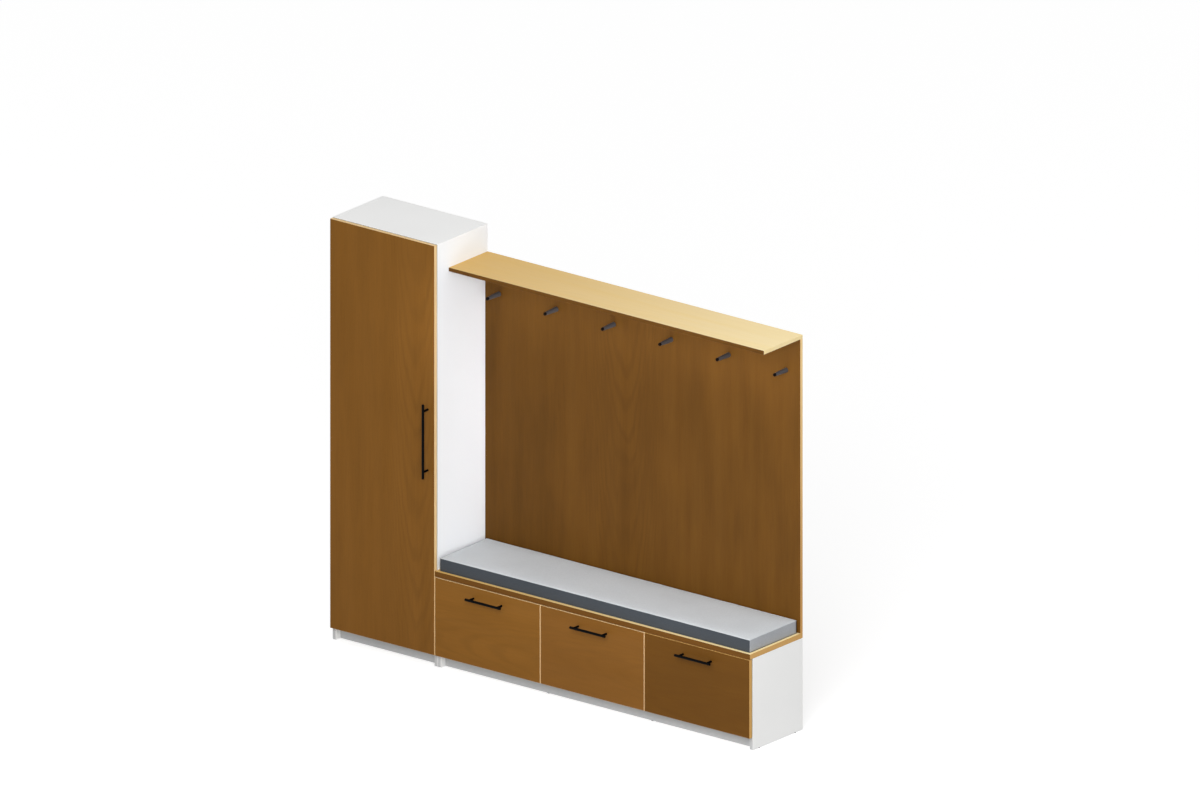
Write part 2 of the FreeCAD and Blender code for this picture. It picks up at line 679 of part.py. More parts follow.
fixing_steps = [f"panel_fixing_inset + {number} * panel_fixing_pitch"
                for number in range(round(value("panel_fixing_count")))]
support_middles = ["board / 2", *(f"{step} + board / 2" for step in divider_steps), "bench_width - board / 2"]
front_overhang = "front_gap + front_thickness"
seat_board = Board("seat_board", ("bench_width", "seat_depth", "seat_board_thickness"),
                   ("wardrobe_right", "front_face", "bench_height"), eased=True)
seat_board.bore("bottom", [(middle, f"{front_overhang} + {row}") for middle in support_middles
                           for row in CAM_ROWS], "thread_bore", "thread_hole_depth")
seat_board.bore("bottom", [(middle, f"{front_overhang} + {row}") for middle in support_middles
                           for row in DOWEL_ROWS], "dowel_bore", "dowel_face_depth")
seat_board.bore("top", [(step, "seat_depth - board / 2") for step in fixing_steps], "dowel_bore",
                "dowel_face_depth")
seat_board.keep()

# The wall panel, the shelf on its top edge and the coat pegs
peg_steps = [f"peg_inset + {number} * peg_pitch" for number in range(round(value("peg_count")))]
wall_panel = Board("wall_panel", ("bench_width", "board", "wall_panel_height"),
                   ("wardrobe_right", "wall - board", "seat_board_height"), eased=True)
panel_peg_height = "peg_height - seat_board_height"
wall_panel.bore("bottom", [(step, "board / 2") for step in fixing_steps], "dowel_bore", "dowel_end_depth")
wall_panel.bore("top", [(step, "board / 2") for step in fixing_steps], "bolt_bore_diameter", "cam_setback")
wall_panel.bore("rear", [(step, "wall_panel_height - cam_setback") for step in fixing_steps], "cam_bore",
                "cam_depth + bore_play")
wall_panel.bore("rear", [(step, panel_peg_height) for step in peg_steps],
                "peg_screw_diameter + 2 * fit", "board")
wall_panel.bore("rear", [(step, panel_peg_height) for step in peg_steps],
                "peg_screw_head_diameter + 2 * bore_play", "peg_counterbore_depth")
wall_panel.keep()
for step in fixing_steps:
    across = f"wardrobe_right + {step}"
    add_cam(across, "wall", "shelf_underside - cam_setback", UP, BACK)
    dowel_spots.append(((across, "wall - board / 2", "seat_board_height"), facing(UP, ACROSS)))

top_shelf = Board("top_shelf", ("bench_width", "top_shelf_depth", "board"),
                  ("wardrobe_right", "wall - top_shelf_depth", "shelf_underside"), eased=True)
top_shelf.bore("bottom", [(step, "top_shelf_depth - board / 2") for step in fixing_steps], "thread_bore",
               "thread_hole_depth")
top_shelf.keep()

peg = Piece("coat_peg")
peg.turn("XY_Plane", "0", [("0", "-peg_length"), ("peg_tip_diameter / 2 - peg_ease", "-peg_length"),
                           ("peg_tip_diameter / 2", "peg_ease - peg_length"),
                           ("peg_base_diameter / 2", "0"), ("0", "0")], "V_Axis")
peg.cut("XZ_Plane", "0", "peg_screw_grip + bore_play", with_normal=True,
        circles=[("0", "0", "peg_screw_diameter + 2 * fit")])
group("coat_pegs", peg,
      [((f"wardrobe_right + {step}", "wall - board", "peg_height"), Rotation()) for step in peg_steps])

peg_screw = Piece("peg_screw")
peg_screw.turn("XY_Plane", "0",
               [("0", "-(board - peg_counterbore_depth + peg_screw_grip)"),
                ("peg_screw_diameter / 2", "-(board - peg_counterbore_depth + peg_screw_grip)"),
                ("peg_screw_diameter / 2", "0"), ("peg_screw_head_diameter / 2", "0"),
                ("peg_screw_head_diameter / 2", "peg_screw_head_height"), ("0", "peg_screw_head_height")],
               "V_Axis")
group("peg_screws", peg_screw,
      [((f"wardrobe_right + {step}", "wall - peg_counterbore_depth", "peg_height"), Rotation())
       for step in peg_steps])


def channel(label, web, tip, half_height):
    """Make a rail of C section, its web at one place across and its two flanges reaching to another."""
    rail = Piece(label)
    inward = "runner_wall" if value(tip) > value(web) else "-runner_wall"
    web_inner = f"{web} + {inward}"
    low = f"-({half_height})"
    rail.pad("XZ_Plane", "-runner_length", "runner_length",
             outlines=[[(web, low), (tip, low), (tip, f"{low} + runner_wall"),
                        (web_inner, f"{low} + runner_wall"), (web_inner, f"{half_height} - runner_wall"),
                        (tip, f"{half_height} - runner_wall"), (tip, half_height), (web, half_height)]])
    return rail


# Three nested channels make each runner, seen from the cabinet's side of a left-hand one
nest = "(runner_wall + runner_gap)"
cabinet_rail = channel("cabinet_rail", "0", "runner_reach", "runner_height / 2")
middle_rail = channel("middle_rail", nest, f"runner_reach + {nest} / 2", f"runner_height / 2 - {nest}")
drawer_rail = channel("drawer_rail", "runner_space", f"2 * {nest}", f"runner_height / 2 - 2 * {nest}")

cabinet_rail_spots = []
for number, name in enumerate(DRAWER_NAMES[:round(value("drawer_count"))]):
    cell = f"wardrobe_right + board + {number} * (cell_width + board)"
    cell_end = f"{cell} + cell_width"
    first = number == 0
    last = number == len(divider_steps)
    front_left = "wardrobe_right + reveal" if first else f"{cell} - board / 2 + reveal"
    front_right = "row_right - reveal" if last else f"{cell_end} + board / 2 - reveal"
    box_left = f"{cell} + runner_space"
    box_right = f"{cell_end} - runner_space"
    front_width = f"({front_right}) - ({front_left})"
    box_offset = f"{box_left} - ({front_left})"
    box_foot = "box_bottom - front_bottom"

    # Front, with housings for the sides, a groove for the floor and holes for the handle
    front = Board(f"{name}_drawer_front", (front_width, "front_thickness", "drawer_front_height"),
                  (front_left, "front_face", "front_bottom"), eased=True)
    housing_width = "drawer_side_thickness + 2 * glue_gap"
    for housing in (box_offset, f"{box_offset} + box_width - drawer_side_thickness"):
        front.groove("rear", f"{housing} - glue_gap", f"{box_foot} - glue_gap", housing_width,
                     "drawer_box_height + 2 * glue_gap", "groove_depth + glue_gap")
    front.groove("rear", f"{box_offset} + drawer_side_thickness / 2",
                 f"{box_foot} + drawer_floor_rise - glue_gap", "box_width - drawer_side_thickness",
                 "groove_height", "groove_depth + glue_gap")
    handle_up = "drawer_front_height - drawer_handle_drop"
    steps = ("-drawer_handle_spacing / 2", "drawer_handle_spacing / 2")
    front.bore("rear", [(f"({front_width}) / 2 + {step}", handle_up) for step in steps],
               "screw_bore", "front_thickness")
    front.keep()

    # Box: two grooved sides, a back that stands on the floor, and the floor
    sides = []
    screw_heights = ("box_floor_top + corner_screw_inset", "drawer_box_height - corner_screw_inset")
    box_side_size = ("drawer_side_thickness", "box_side_length", "drawer_box_height")
    for hand, across, inner_face in (("left", box_left, "right"),
                                     ("right", f"{box_right} - drawer_side_thickness", "left")):
        side = Board(f"{name}_drawer_{hand}_side", box_side_size,
                     (across, "front_rear - groove_depth", "box_bottom"))
        side.groove(inner_face, "0", "drawer_floor_rise - glue_gap", "box_side_length", "groove_height",
                    "groove_depth + glue_gap")
        side.bore("left", [("box_side_length - drawer_side_thickness / 2", height)
                           for height in screw_heights], "screw_bore", "drawer_side_thickness")
        sides.append(side.body)
    join(f"{name}_drawer_sides", sides)

    box_back = Board(f"{name}_drawer_back", ("box_inner_width", "drawer_side_thickness", "box_back_height"),
                     (f"{box_left} + drawer_side_thickness", "box_rear - drawer_side_thickness",
                      "box_bottom + box_floor_top"))
    for face in ("left", "right"):
        box_back.bore(face, [("drawer_side_thickness / 2", f"{height} - box_floor_top")
                             for height in screw_heights], "screw_bore",
                      "screw_length - drawer_side_thickness + bore_play")
    box_back.keep()

    Board(f"{name}_drawer_floor",
          ("box_inner_width + 2 * groove_depth", "box_side_length", "drawer_floor_thickness"),
          (f"{box_left} + drawer_side_thickness - groove_depth", "front_rear - groove_depth",
           "box_bottom + drawer_floor_rise")).keep()

    # Handle and screws
    handle_across = f"(({front_left}) + ({front_right})) / 2"
    handle_height = f"front_bottom + {handle_up}"
    bar_handle(f"{name}_drawer_handle", (handle_across, "front_face", handle_height), False,
               "drawer_handle_length", "drawer_handle_spacing")
    screw_spots = [((f"{handle_across} + {step}", "front_rear", handle_height), Rotation())
                   for step in steps]
    corner_back = "box_rear - drawer_side_thickness / 2"
    for height in screw_heights:
        corner_height = f"box_bottom + {height}"
        screw_spots.append(((box_left, corner_back, corner_height), facing(BACK, UP)))
        screw_spots.append(((box_right, corner_back, corner_height), facing(-BACK, UP)))
    group(f"{name}_drawer_screws", screw, screw_spots)

    # Runners: the right-hand one is the left-hand one turned round
    left_spot = ((cell, "runner_front", "runner_middle"), Rotation())
    right_spot = ((cell_end, "runner_front + runner_length", "runner_middle"), facing(-ACROSS, UP))
    cabinet_rail_spots += [left_spot, right_spot]
    group(f"{name}_middle_rails", middle_rail, [left_spot, right_spot])
    group(f"{name}_drawer_rails", drawer_rail, [left_spot, right_spot])
group("cabinet_rails", cabinet_rail, cabinet_rail_spots)

# Cams, bolts, dowels and glides
cam = Piece("cam_lock")
cam.pad("XY_Plane", "-cam_depth", "cam_depth", circles=[("0", "0", "cam_diameter")])
cam.cut("YZ_Plane", "cam_diameter / 2", "(cam_diameter + bolt_head_length) / 2 + fit",
        circles=[("0", "-board / 2", "bolt_head_diameter + 2 * fit")])
cam.cut("XY_Plane", "0", "cam_slot_depth",
        outlines=[rectangle("-cam_diameter / 4", "-cam_slot_width / 2", "cam_diameter / 2",
                            "cam_slot_width")])

bolt = Piece("cam_bolt")
head_half = "bolt_head_length / 2"
neck_end = f"{head_half} + bolt_neck_length"
bolt_end = "cam_setback + bolt_thread_length"
bolt.turn("XY_Plane", "-board / 2",
          [(f"-{head_half}", "0"), (f"-{head_half}", "bolt_head_diameter / 2"),
           (head_half, "bolt_head_diameter / 2"), (head_half, "bolt_neck_diameter / 2"),
           (neck_end, "bolt_neck_diameter / 2"), (neck_end, "bolt_shank_diameter / 2"),
           ("cam_setback", "bolt_shank_diameter / 2"), ("cam_setback", "bolt_thread_diameter / 2"),
           (bolt_end, "bolt_thread_diameter / 2"), (bolt_end, "0")], "H_Axis")

# Each dowel runs from the joint into the end of one board, and its short part into a face
dowel = Piece("wood_dowel")
dowel_end = "dowel_length - dowel_grip"
dowel.turn("XY_Plane", "0",
           [("-dowel_grip", "0"), ("-dowel_grip", "dowel_diameter / 2 - dowel_chamfer"),
            ("dowel_chamfer - dowel_grip", "dowel_diameter / 2"),
            (f"{dowel_end} - dowel_chamfer", "dowel_diameter / 2"),
            (dowel_end, "dowel_diameter / 2 - dowel_chamfer"), (dowel_end, "0")], "H_Axis")

glide = Piece("floor_glide")
glide.pad("XY_Plane", "0", "glide_height", circles=[("0", "0", "glide_diameter")])
glide_spots = []
for across in ("row_left", "wardrobe_right - board", "wardrobe_right", "row_right - board"):
    for row in CAM_ROWS:
        glide_spots.append(((f"{across} + board / 2", f"carcass_front + {row}", "0"), Rotation()))
for step in divider_steps:
    for row in ("plinth_setback + board / 2", "inner_depth - board / 2"):
        glide_spots.append(((f"wardrobe_right + {step} + board / 2", f"carcass_front + {row}", "0"),
                            Rotation()))

group("cam_locks", cam, cam_spots)
group("cam_bolts", bolt, cam_spots)
group("wood_dowels", dowel, dowel_spots)
group("floor_glides", glide, glide_spots)


def cushion_section(across):
    """Outline the cushion at one place along it: flat foot, swelling sides, crowned top."""
    half_length = value("(bench_width - 2 * cushion_end_space) / 2")
    from_end = 1 - (across / half_length) ** 2
    half_depth = value("cushion_depth / 2") - value("cushion_draw_in") * from_end
    edge_height = value("cushion_height - cushion_crown")
    top = edge_height + value("cushion_crown") * from_end
    swell = value("cushion_side_swell")
    corners = [Vector(across, -half_depth, 0), Vector(across, half_depth, 0),
               Vector(across, half_depth, edge_height), Vector(across, -half_depth, edge_height)]
    rear_bulge = Vector(across, half_depth + swell, edge_height / 2)
    front_bulge = Vector(across, -half_depth - swell, edge_height / 2)
    crown_middle = Vector(across, 0, max(top, edge_height + swell))
    return Part.Wire([Part.LineSegment(corners[0], corners[1]).toShape(),
                      Part.Arc(corners[1], rear_bulge, corners[2]).toShape(),
                      Part.Arc(corners[2], crown_middle, corners[3]).toShape(),
                      Part.Arc(corners[3], front_bulge, corners[0]).toShape()])


# The seat cushion: crowned in the middle, its long sides drawn in between its corners
section_shares = (-1, -0.5, 0, 0.5, 1)
cushion = doc.addObject("Part::Feature", "seat_cushion")
half_cushion = value("(bench_width - 2 * cushion_end_space) / 2")
sections = [cushion_section(share * half_cushion) for share in section_shares]
cushion.Shape = Part.makeLoft(sections, True, False)
seat(cushion, ("(wardrobe_right + row_right) / 2",
               "wall - board - cushion_rear_space - cushion_depth / 2",
               "seat_board_height + soft_gap"))
cushion.Label = "seat_cushion"
sub_parts.append(cushion)

doc.recompute()

for item in doc.Objects:
    if {"Invalid", "Error"} & set(item.State):
        raise RuntimeError(f"{item.Label} failed: {item.State}")
for before, after in cuts:
    if not after.Shape.Volume < before.Shape.Volume - value("fit") ** 3:
        raise RuntimeError(f"{after.Label} cuts nothing")
for item in sub_parts:
    if item.Shape.isNull() or not item.Shape.isValid() or not item.Shape.Solids:
        raise RuntimeError(f"{item.Label} has no valid solid")

os.makedirs("parts", exist_ok=True)
for item in sub_parts:
    item.Shape.exportStep(f"parts/{item.Label}.step")
print(f"{len(sub_parts)} sub-parts, {sum(len(item.Shape.Solids) for item in sub_parts)} solids")
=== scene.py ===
import logging
import math
from dataclasses import dataclass, field
from enum import Enum
from typing import Iterable

import bmesh
import bpy
from mathutils import Matrix, Vector, noise


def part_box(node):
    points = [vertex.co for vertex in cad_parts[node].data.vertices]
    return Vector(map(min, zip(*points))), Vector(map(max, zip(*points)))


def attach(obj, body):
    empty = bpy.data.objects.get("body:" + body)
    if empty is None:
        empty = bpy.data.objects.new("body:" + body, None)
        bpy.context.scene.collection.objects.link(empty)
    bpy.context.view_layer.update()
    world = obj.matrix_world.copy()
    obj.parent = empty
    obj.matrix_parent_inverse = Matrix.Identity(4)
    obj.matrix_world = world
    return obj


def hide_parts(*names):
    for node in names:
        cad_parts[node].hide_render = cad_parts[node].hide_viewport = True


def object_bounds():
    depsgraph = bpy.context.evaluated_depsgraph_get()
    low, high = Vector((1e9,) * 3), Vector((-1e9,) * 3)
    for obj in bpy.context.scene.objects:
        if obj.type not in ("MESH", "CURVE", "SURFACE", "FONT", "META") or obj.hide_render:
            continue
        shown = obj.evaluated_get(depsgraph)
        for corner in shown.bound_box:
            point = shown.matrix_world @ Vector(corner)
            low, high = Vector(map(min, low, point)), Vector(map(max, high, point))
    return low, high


# A hallway wardrobe row: a tall one-door cabinet, a bench with three drawers and a cushion, and a
# wall panel with coat pegs under a shelf. Metres, +Z up, +X along the row, +Y towards the wall.

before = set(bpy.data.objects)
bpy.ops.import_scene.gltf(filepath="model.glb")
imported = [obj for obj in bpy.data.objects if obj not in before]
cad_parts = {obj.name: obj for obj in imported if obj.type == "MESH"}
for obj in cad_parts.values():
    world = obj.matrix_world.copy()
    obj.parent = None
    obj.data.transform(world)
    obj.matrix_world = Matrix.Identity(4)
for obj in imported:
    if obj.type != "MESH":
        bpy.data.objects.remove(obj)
cad_low, cad_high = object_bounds()
log = logging.getLogger("hallway_wardrobe")

Triple = tuple[float, float, float]
Colour = Triple
MM = 0.001
SAME_SPOT = 0.01 * MM
NO_LENGTH = 1e-9
FLAT_ENOUGH = 0.985
FACING_ENOUGH = 0.7
LEAN = 0.3
PLAIN_LIGHT = (1.0, 1.0, 1.0)
MOST_NOISE = (0.3, 0.7)
MIDDLE_NOISE = (0.35, 0.65)
UPPER_NOISE = (0.35, 0.7)


def shade(red: float, green: float, blue: float) -> Colour:
    """Turn a colour of 0 to 255 a channel, as a screen shows it, into the shader's own scale.

    Args:
        red: The red channel.
        green: The green channel.
        blue: The blue channel.

    Returns:
        The same colour in linear light.
    """
    channels = []
    for level in (red, green, blue):
        part = level / 255
        channels.append(part / 12.92 if part <= 0.04045 else ((part + 0.055) / 1.055) ** 2.4)
    return tuple(channels)


class Side(Enum):
    """The way in which a face of a board points."""

    LEFT = (-1, 0, 0)
    RIGHT = (1, 0, 0)
    FRONT = (0, -1, 0)
    REAR = (0, 1, 0)
    UNDER = (0, 0, -1)
    TOP = (0, 0, 1)

    @classmethod
    def leaning(cls, normal: Vector) -> "Side":
        """Name the side that a face at an edge goes with: the front, if it leans that way.

        Args:
            normal: The face's direction.

        Returns:
            The side.
        """
        if normal.y < -LEAN:
            return cls.FRONT
        return max(cls, key=lambda side: normal.dot(Vector(side.value)))

    @classmethod
    def of(cls, normal: Vector) -> "Side | None":
        """Name the side that a face is on.

        Args:
            normal: The face's direction.

        Returns:
            The side, or None for a face that turns round an edge.
        """
        for side in cls:
            if normal.dot(Vector(side.value)) > FLAT_ENOUGH:
                return side
        return None


class Grain(Enum):
    """The direction of a wood's grain."""

    UP = (0.0, 0.0, 1.0)
    ACROSS = (1.0, 0.0, 0.0)
    DEEP = (0.0, 1.0, 0.0)


class Weave(Enum):
    """The two axes in which a fabric's threads run."""

    LEVEL = (0, 1)
    FACING = (0, 2)
    ENDWAYS = (1, 2)


class Tree:
    """A tree of nodes, with short ways to add and join them."""

    def __init__(self, tree: bpy.types.NodeTree) -> None:
        """Take up a tree.

        Args:
            tree: The tree to add to.
        """
        self.nodes = tree.nodes
        self.links = tree.links

    def feed(self, socket: bpy.types.NodeSocket, source: object) -> None:
        """Give an input a value, or join it to an output.

        Args:
            socket: The input.
            source: A number, a vector, a colour or an output.
        """
        if isinstance(source, bpy.types.NodeSocket):
            self.links.new(source, socket)
        elif isinstance(source, tuple) and len(source) == 3 and socket.type == "RGBA":
            socket.default_value = (*source, 1)
        else:
            socket.default_value = source

    def add(self, kind: str, *sources: object, operation: str = "") -> bpy.types.Node:
        """Add a node and feed its first inputs.

        Args:
            kind: The node's type, without the words that all types start with.
            sources: A value or an output for each of its first inputs.
            operation: The name of its operation, if it has one.

        Returns:
            The node.
        """
        node = self.nodes.new(f"ShaderNode{kind}")
        if operation:
            node.operation = operation
        for socket, source in zip(node.inputs, sources):
            self.feed(socket, source)
        return node

    def sum(self, operation: str, first: object, second: object = 0.0,
            third: object = 0.0) -> bpy.types.NodeSocket:
        """Add a sum of two or three values.

        Args:
            operation: The name of the sum.
            first: A number or an output.
            second: A number or an output.
            third: A number or an output.

        Returns:
            The result.
        """
        return self.add("Math", first, second, third, operation=operation).outputs["Value"]

    def dot(self, vector: bpy.types.NodeSocket, direction: Iterable[float]) -> bpy.types.NodeSocket:
        """Give how far a vector reaches in a direction.

        Args:
            vector: The vector.
            direction: The direction.

        Returns:
            The number output.
        """
        return self.add("VectorMath", vector, direction, operation="DOT_PRODUCT").outputs["Value"]

    def seen_rays(self) -> bpy.types.NodeSocket:
        """Tell the rays that show a surface from those that only carry its light.

        Returns:
            1 for a ray from the camera, a mirror or a pane, and 0 for the rest.
        """
        rays = self.add("LightPath").outputs
        mirrored = self.sum("MAXIMUM", rays["Is Camera Ray"], rays["Is Glossy Ray"])
        return self.sum("MAXIMUM", mirrored, rays["Is Transmission Ray"])


class Shader(Tree):
    """The nodes of one material, with its surface shader and object coordinates."""

    def __init__(self, name: str) -> None:
        """Start a material.

        Args:
            name: The material's name.
        """
        self.material = bpy.data.materials.new(name)
        self.material.use_nodes = True
        super().__init__(self.material.node_tree)
        self.surface = self.nodes["Principled BSDF"]
        self.place = self.add("TexCoord").outputs["Object"]

    def set(self, **inputs: object) -> None:
        """Set inputs of the surface shader, named in lower case with underscores.

        Args:
            inputs: The values or outputs to feed them.
        """
        known = {socket.name.lower().replace(" ", "_"): socket for socket in self.surface.inputs}
        for name, source in inputs.items():
            self.feed(known[name], source)

    def cloud(self, vector: bpy.types.NodeSocket, scale: float, detail: float = 2.0,
              roughness: float = 0.5) -> bpy.types.NodeSocket:
        """Add cloudy noise.

        Args:
            vector: The coordinates.
            scale: Waves in a metre.
            detail: How many finer layers are added.
            roughness: How strong the finer layers are.

        Returns:
            The noise, about 0.5.
        """
        clouds = self.add("TexNoise", vector)
        self.feed(clouds.inputs["Scale"], scale)
        self.feed(clouds.inputs["Detail"], detail)
        self.feed(clouds.inputs["Roughness"], roughness)
        return clouds.outputs["Fac"]

    def span(self, value: bpy.types.NodeSocket, low: float, high: float, out_low: float = 0.0,
             out_high: float = 1.0) -> bpy.types.NodeSocket:
        """Stretch a part of a value's range to another range.

        Args:
            value: The value.
            low: Where the part starts.
            high: Where the part ends.
            out_low: What the start becomes.
            out_high: What the end becomes.

        Returns:
            The new value, kept in its range.
        """
        return self.add("MapRange", value, low, high, out_low, out_high).outputs["Result"]

    def swing(self, clouds: bpy.types.NodeSocket,
              part: tuple[float, float] = MOST_NOISE) -> bpy.types.NodeSocket:
        """Stretch noise to a range of -1 to 1.

        Args:
            clouds: The noise.
            part: The part of its range that is stretched.

        Returns:
            The new value, kept in its range.
        """
        return self.span(clouds, *part, -1, 1)

    def toned(self, colour: object, tone: bpy.types.NodeSocket) -> bpy.types.NodeSocket:
        """Make a colour lighter or darker.

        Args:
            colour: A colour or an output.
            tone: How much its channels are multiplied by.

        Returns:
            The new colour.
        """
        node = self.add("VectorMath", colour, operation="SCALE")
        self.feed(node.inputs["Scale"], tone)
        return node.outputs[0]

    def blend(self, share: object, first: object, second: object,
              how: str = "MIX") -> bpy.types.NodeSocket:
        """Blend two colours.

        Args:
            share: How much of the second shows.
            first: A colour or an output.
            second: A colour or an output.
            how: The way of blending.

        Returns:
            The blended colour.
        """
        node = self.add("Mix")
        node.data_type = "RGBA"
        node.blend_type = how
        self.feed(node.inputs[0], share)
        self.feed(node.inputs[6], first)
        self.feed(node.inputs[7], second)
        return node.outputs[2]

    def bump(self, height: bpy.types.NodeSocket, depth: float, strength: float) -> None:
        """Raise the surface by a height.

        Args:
            height: The height, 0 to 1.
            depth: How many metres 1 stands for.
            strength: How much of it shows.
        """
        node = self.add("Bump")
        self.feed(node.inputs["Height"], height)
        self.feed(node.inputs["Distance"], depth)
        self.feed(node.inputs["Strength"], strength)
        self.set(normal=node.outputs["Normal"])


@dataclass(frozen=True)
class Finish:
    """The finish of a surface, made into one material when it is first used.

    Its name differs from those of the frame's own materials, which would be found in its place.
    """

    name: str
    colour: Colour

    def material(self) -> bpy.types.Material:
        """Give the finish's material, made when it is first asked for.

        Returns:
            The material.
        """
        found = bpy.data.materials.get(self.name)
        if found:
            return found
        shader = Shader(self.name)
        self.mix(shader)
        shader.material.diffuse_color = (*self.colour, 1)
        return shader.material

    def mix(self, shader: Shader) -> None:
        """Fill in the shader's nodes.

        Args:
            shader: The shader to fill in.
        """
        raise NotImplementedError


@dataclass(frozen=True)
class Wood(Finish):
    """Printed oak laminate: soft bands, arches up the middle of each leaf, fibres and short pores."""

    grain: Grain = Grain.UP
    shift: Triple = (0.0, 0.0, 0.0)
    # An end colour, with its axis and ends below, paints a gradient of light that brightens the piece
    # towards one end.
    lit_end_colour: Colour | None = None
    figure: float = 0.13
    streak: float = 0.05
    band: float = 0.065
    fibre: float = 0.055
    roughness: float = 0.42
    drift_scale: float = 3.2
    heart: float = 0.0
    leaf_width: float = 0.9
    wander: float = 0.12
    arches: float = 5.5
    bow: float = 170.0
    bend: float = 2.4
    line_levels: tuple[float, float] = (-0.2, 1.0)
    feathering: tuple[float, float] = (0.3, 0.62)
    leaf_edges: tuple[float, float] = (0.06, 0.24)
    pore_levels: tuple[float, float] = (0.62, 0.74)
    pore_depth: float = 2.2
    pore_relief: float = -0.7
    fibre_relief: float = 0.5
    fibre_squeeze: float = 0.045
    pore_squeeze: float = 0.12
    patch_squeeze: float = 0.25
    lightness: float = 1.02
    tints: tuple[Colour, Colour] = ((1.0, 0.99, 0.93), (0.99, 1.0, 1.05))
    light_drift_axis: str = "X"
    light_drift_ends: tuple[float, float] = (-0.6, 1.2)

    def ground(self, shader: Shader) -> object:
        """Give the colour under the grain, with a painted light gradient towards one end where an end colour
        is given.

        Args:
            shader: The shader to add to.

        Returns:
            A colour or an output.
        """
        if not self.lit_end_colour:
            return self.colour
        # Painted light: the colour brightens from one end to the other.
        axes = shader.add("SeparateXYZ", shader.place)
        share = shader.span(axes.outputs[self.light_drift_axis], *self.light_drift_ends)
        return shader.blend(share, self.colour, self.lit_end_colour)

    def squeezed(self, shader: Shader, squeeze: float) -> bpy.types.NodeSocket:
        """Give coordinates in which a pattern runs out along the grain.

        Args:
            shader: The shader to add to.
            squeeze: How much the lengths along the grain are multiplied by.

        Returns:
            The vector output.
        """
        mapping = shader.add("Mapping", shader.place, self.shift)
        shader.feed(mapping.inputs["Scale"], tuple(squeeze if axis else 1.0 for axis in self.grain.value))
        return mapping.outputs["Vector"]

    def arch_lines(self, shader: Shader, slow: bpy.types.NodeSocket,
                   patches: bpy.types.NodeSocket) -> bpy.types.NodeSocket:
        """Draw the arches of flat-sawn leaves, stacked up the middle of each and steep at its edges.

        Args:
            shader: The shader to add to.
            slow: The coordinates, squeezed along the grain.
            patches: Broad noise that bends the arches and lets them fade.

        Returns:
            How dark the arches' lines are, 0 to 1.
        """
        along = shader.dot(shader.place, self.grain.value)
        across = shader.dot(shader.place, tuple(1 - axis for axis in self.grain.value))
        drift = shader.cloud(slow, scale=self.drift_scale, detail=1.5, roughness=0.4)
        middle = 0.5 - self.heart / self.leaf_width - self.wander / 2
        leaf = shader.sum("MULTIPLY_ADD", drift, self.wander,
                          shader.sum("MULTIPLY_ADD", across, 1 / self.leaf_width, middle))
        off_middle = shader.sum("ABSOLUTE", shader.sum("SUBTRACT", shader.sum("FRACT", leaf), 0.5))
        turns = shader.sum("MULTIPLY_ADD", shader.sum("POWER", off_middle, 2.0), -self.bow, self.shift[1])
        turns = shader.sum("MULTIPLY_ADD", along, self.arches, turns)
        turns = shader.sum("MULTIPLY_ADD", patches, self.bend, turns)
        waves = shader.sum("SINE", shader.sum("MULTIPLY", turns, math.tau))
        feathered = shader.sum("MULTIPLY", shader.span(waves, *self.line_levels),
                               shader.span(patches, *self.feathering))
        return shader.sum("MULTIPLY", feathered, shader.span(off_middle, *self.leaf_edges, 1.0, 0.0))

    def mix(self, shader: Shader) -> None:
        """Fill in the shader's nodes.

        Args:
            shader: The shader to fill in.
        """
        slow = self.squeezed(shader, self.fibre_squeeze)
        bands = shader.cloud(slow, scale=self.drift_scale * 5, detail=3, roughness=0.55)
        fibres = shader.cloud(slow, scale=210, detail=3, roughness=0.6)
        patches = shader.cloud(self.squeezed(shader, self.patch_squeeze), scale=9, detail=2, roughness=0.55)
        specks = shader.cloud(self.squeezed(shader, self.pore_squeeze), scale=520, detail=1)
        pores = shader.span(specks, *self.pore_levels)

        arches = self.arch_lines(shader, slow, patches)
        figured = shader.sum("MULTIPLY_ADD", arches, -self.figure, self.lightness)
        streaked = shader.sum("MULTIPLY_ADD", shader.swing(patches), self.streak, figured)
        banded = shader.sum("MULTIPLY_ADD", shader.swing(bands), self.band, streaked)
        fibred = shader.sum("MULTIPLY_ADD", shader.swing(fibres), self.fibre, banded)
        tone = shader.sum("MULTIPLY_ADD", pores, -self.fibre * self.pore_depth, fibred)

        tint = shader.blend(shader.span(bands, *MIDDLE_NOISE), *self.tints)
        hue = shader.blend(1.0, self.ground(shader), tint, how="MULTIPLY")
        shader.set(base_color=shader.toned(hue, tone), specular_ior_level=0.08)
        shader.set(roughness=shader.span(fibres, *MOST_NOISE, self.roughness - 0.05, self.roughness + 0.06))
        relief = shader.sum("MULTIPLY", fibres, self.fibre_relief)
        relief = shader.sum("MULTIPLY_ADD", pores, self.pore_relief, relief)
        shader.bump(relief, depth=0.12 * MM, strength=0.5)


@dataclass(frozen=True)
class Laminate(Finish):
    """Plain melamine: a faint orange peel and the slightest unevenness of tone."""

    roughness: float = 0.4
    unevenness: float = 0.02

    def mix(self, shader: Shader) -> None:
        """Fill in the shader's nodes.

        Args:
            shader: The shader to fill in.
        """
        broad = shader.cloud(shader.place, scale=2.5, detail=2)
        fine = shader.cloud(shader.place, scale=260, detail=2)
        worn = tuple(channel * (1 - self.unevenness * 2) for channel in self.colour)
        shader.set(base_color=shader.blend(shader.span(broad, *UPPER_NOISE), self.colour, worn))
        shader.set(roughness=shader.span(broad, *MOST_NOISE, self.roughness - 0.04, self.roughness + 0.05))
        shader.set(specular_ior_level=0.4)
        shader.bump(fine, depth=0.06 * MM, strength=0.35)


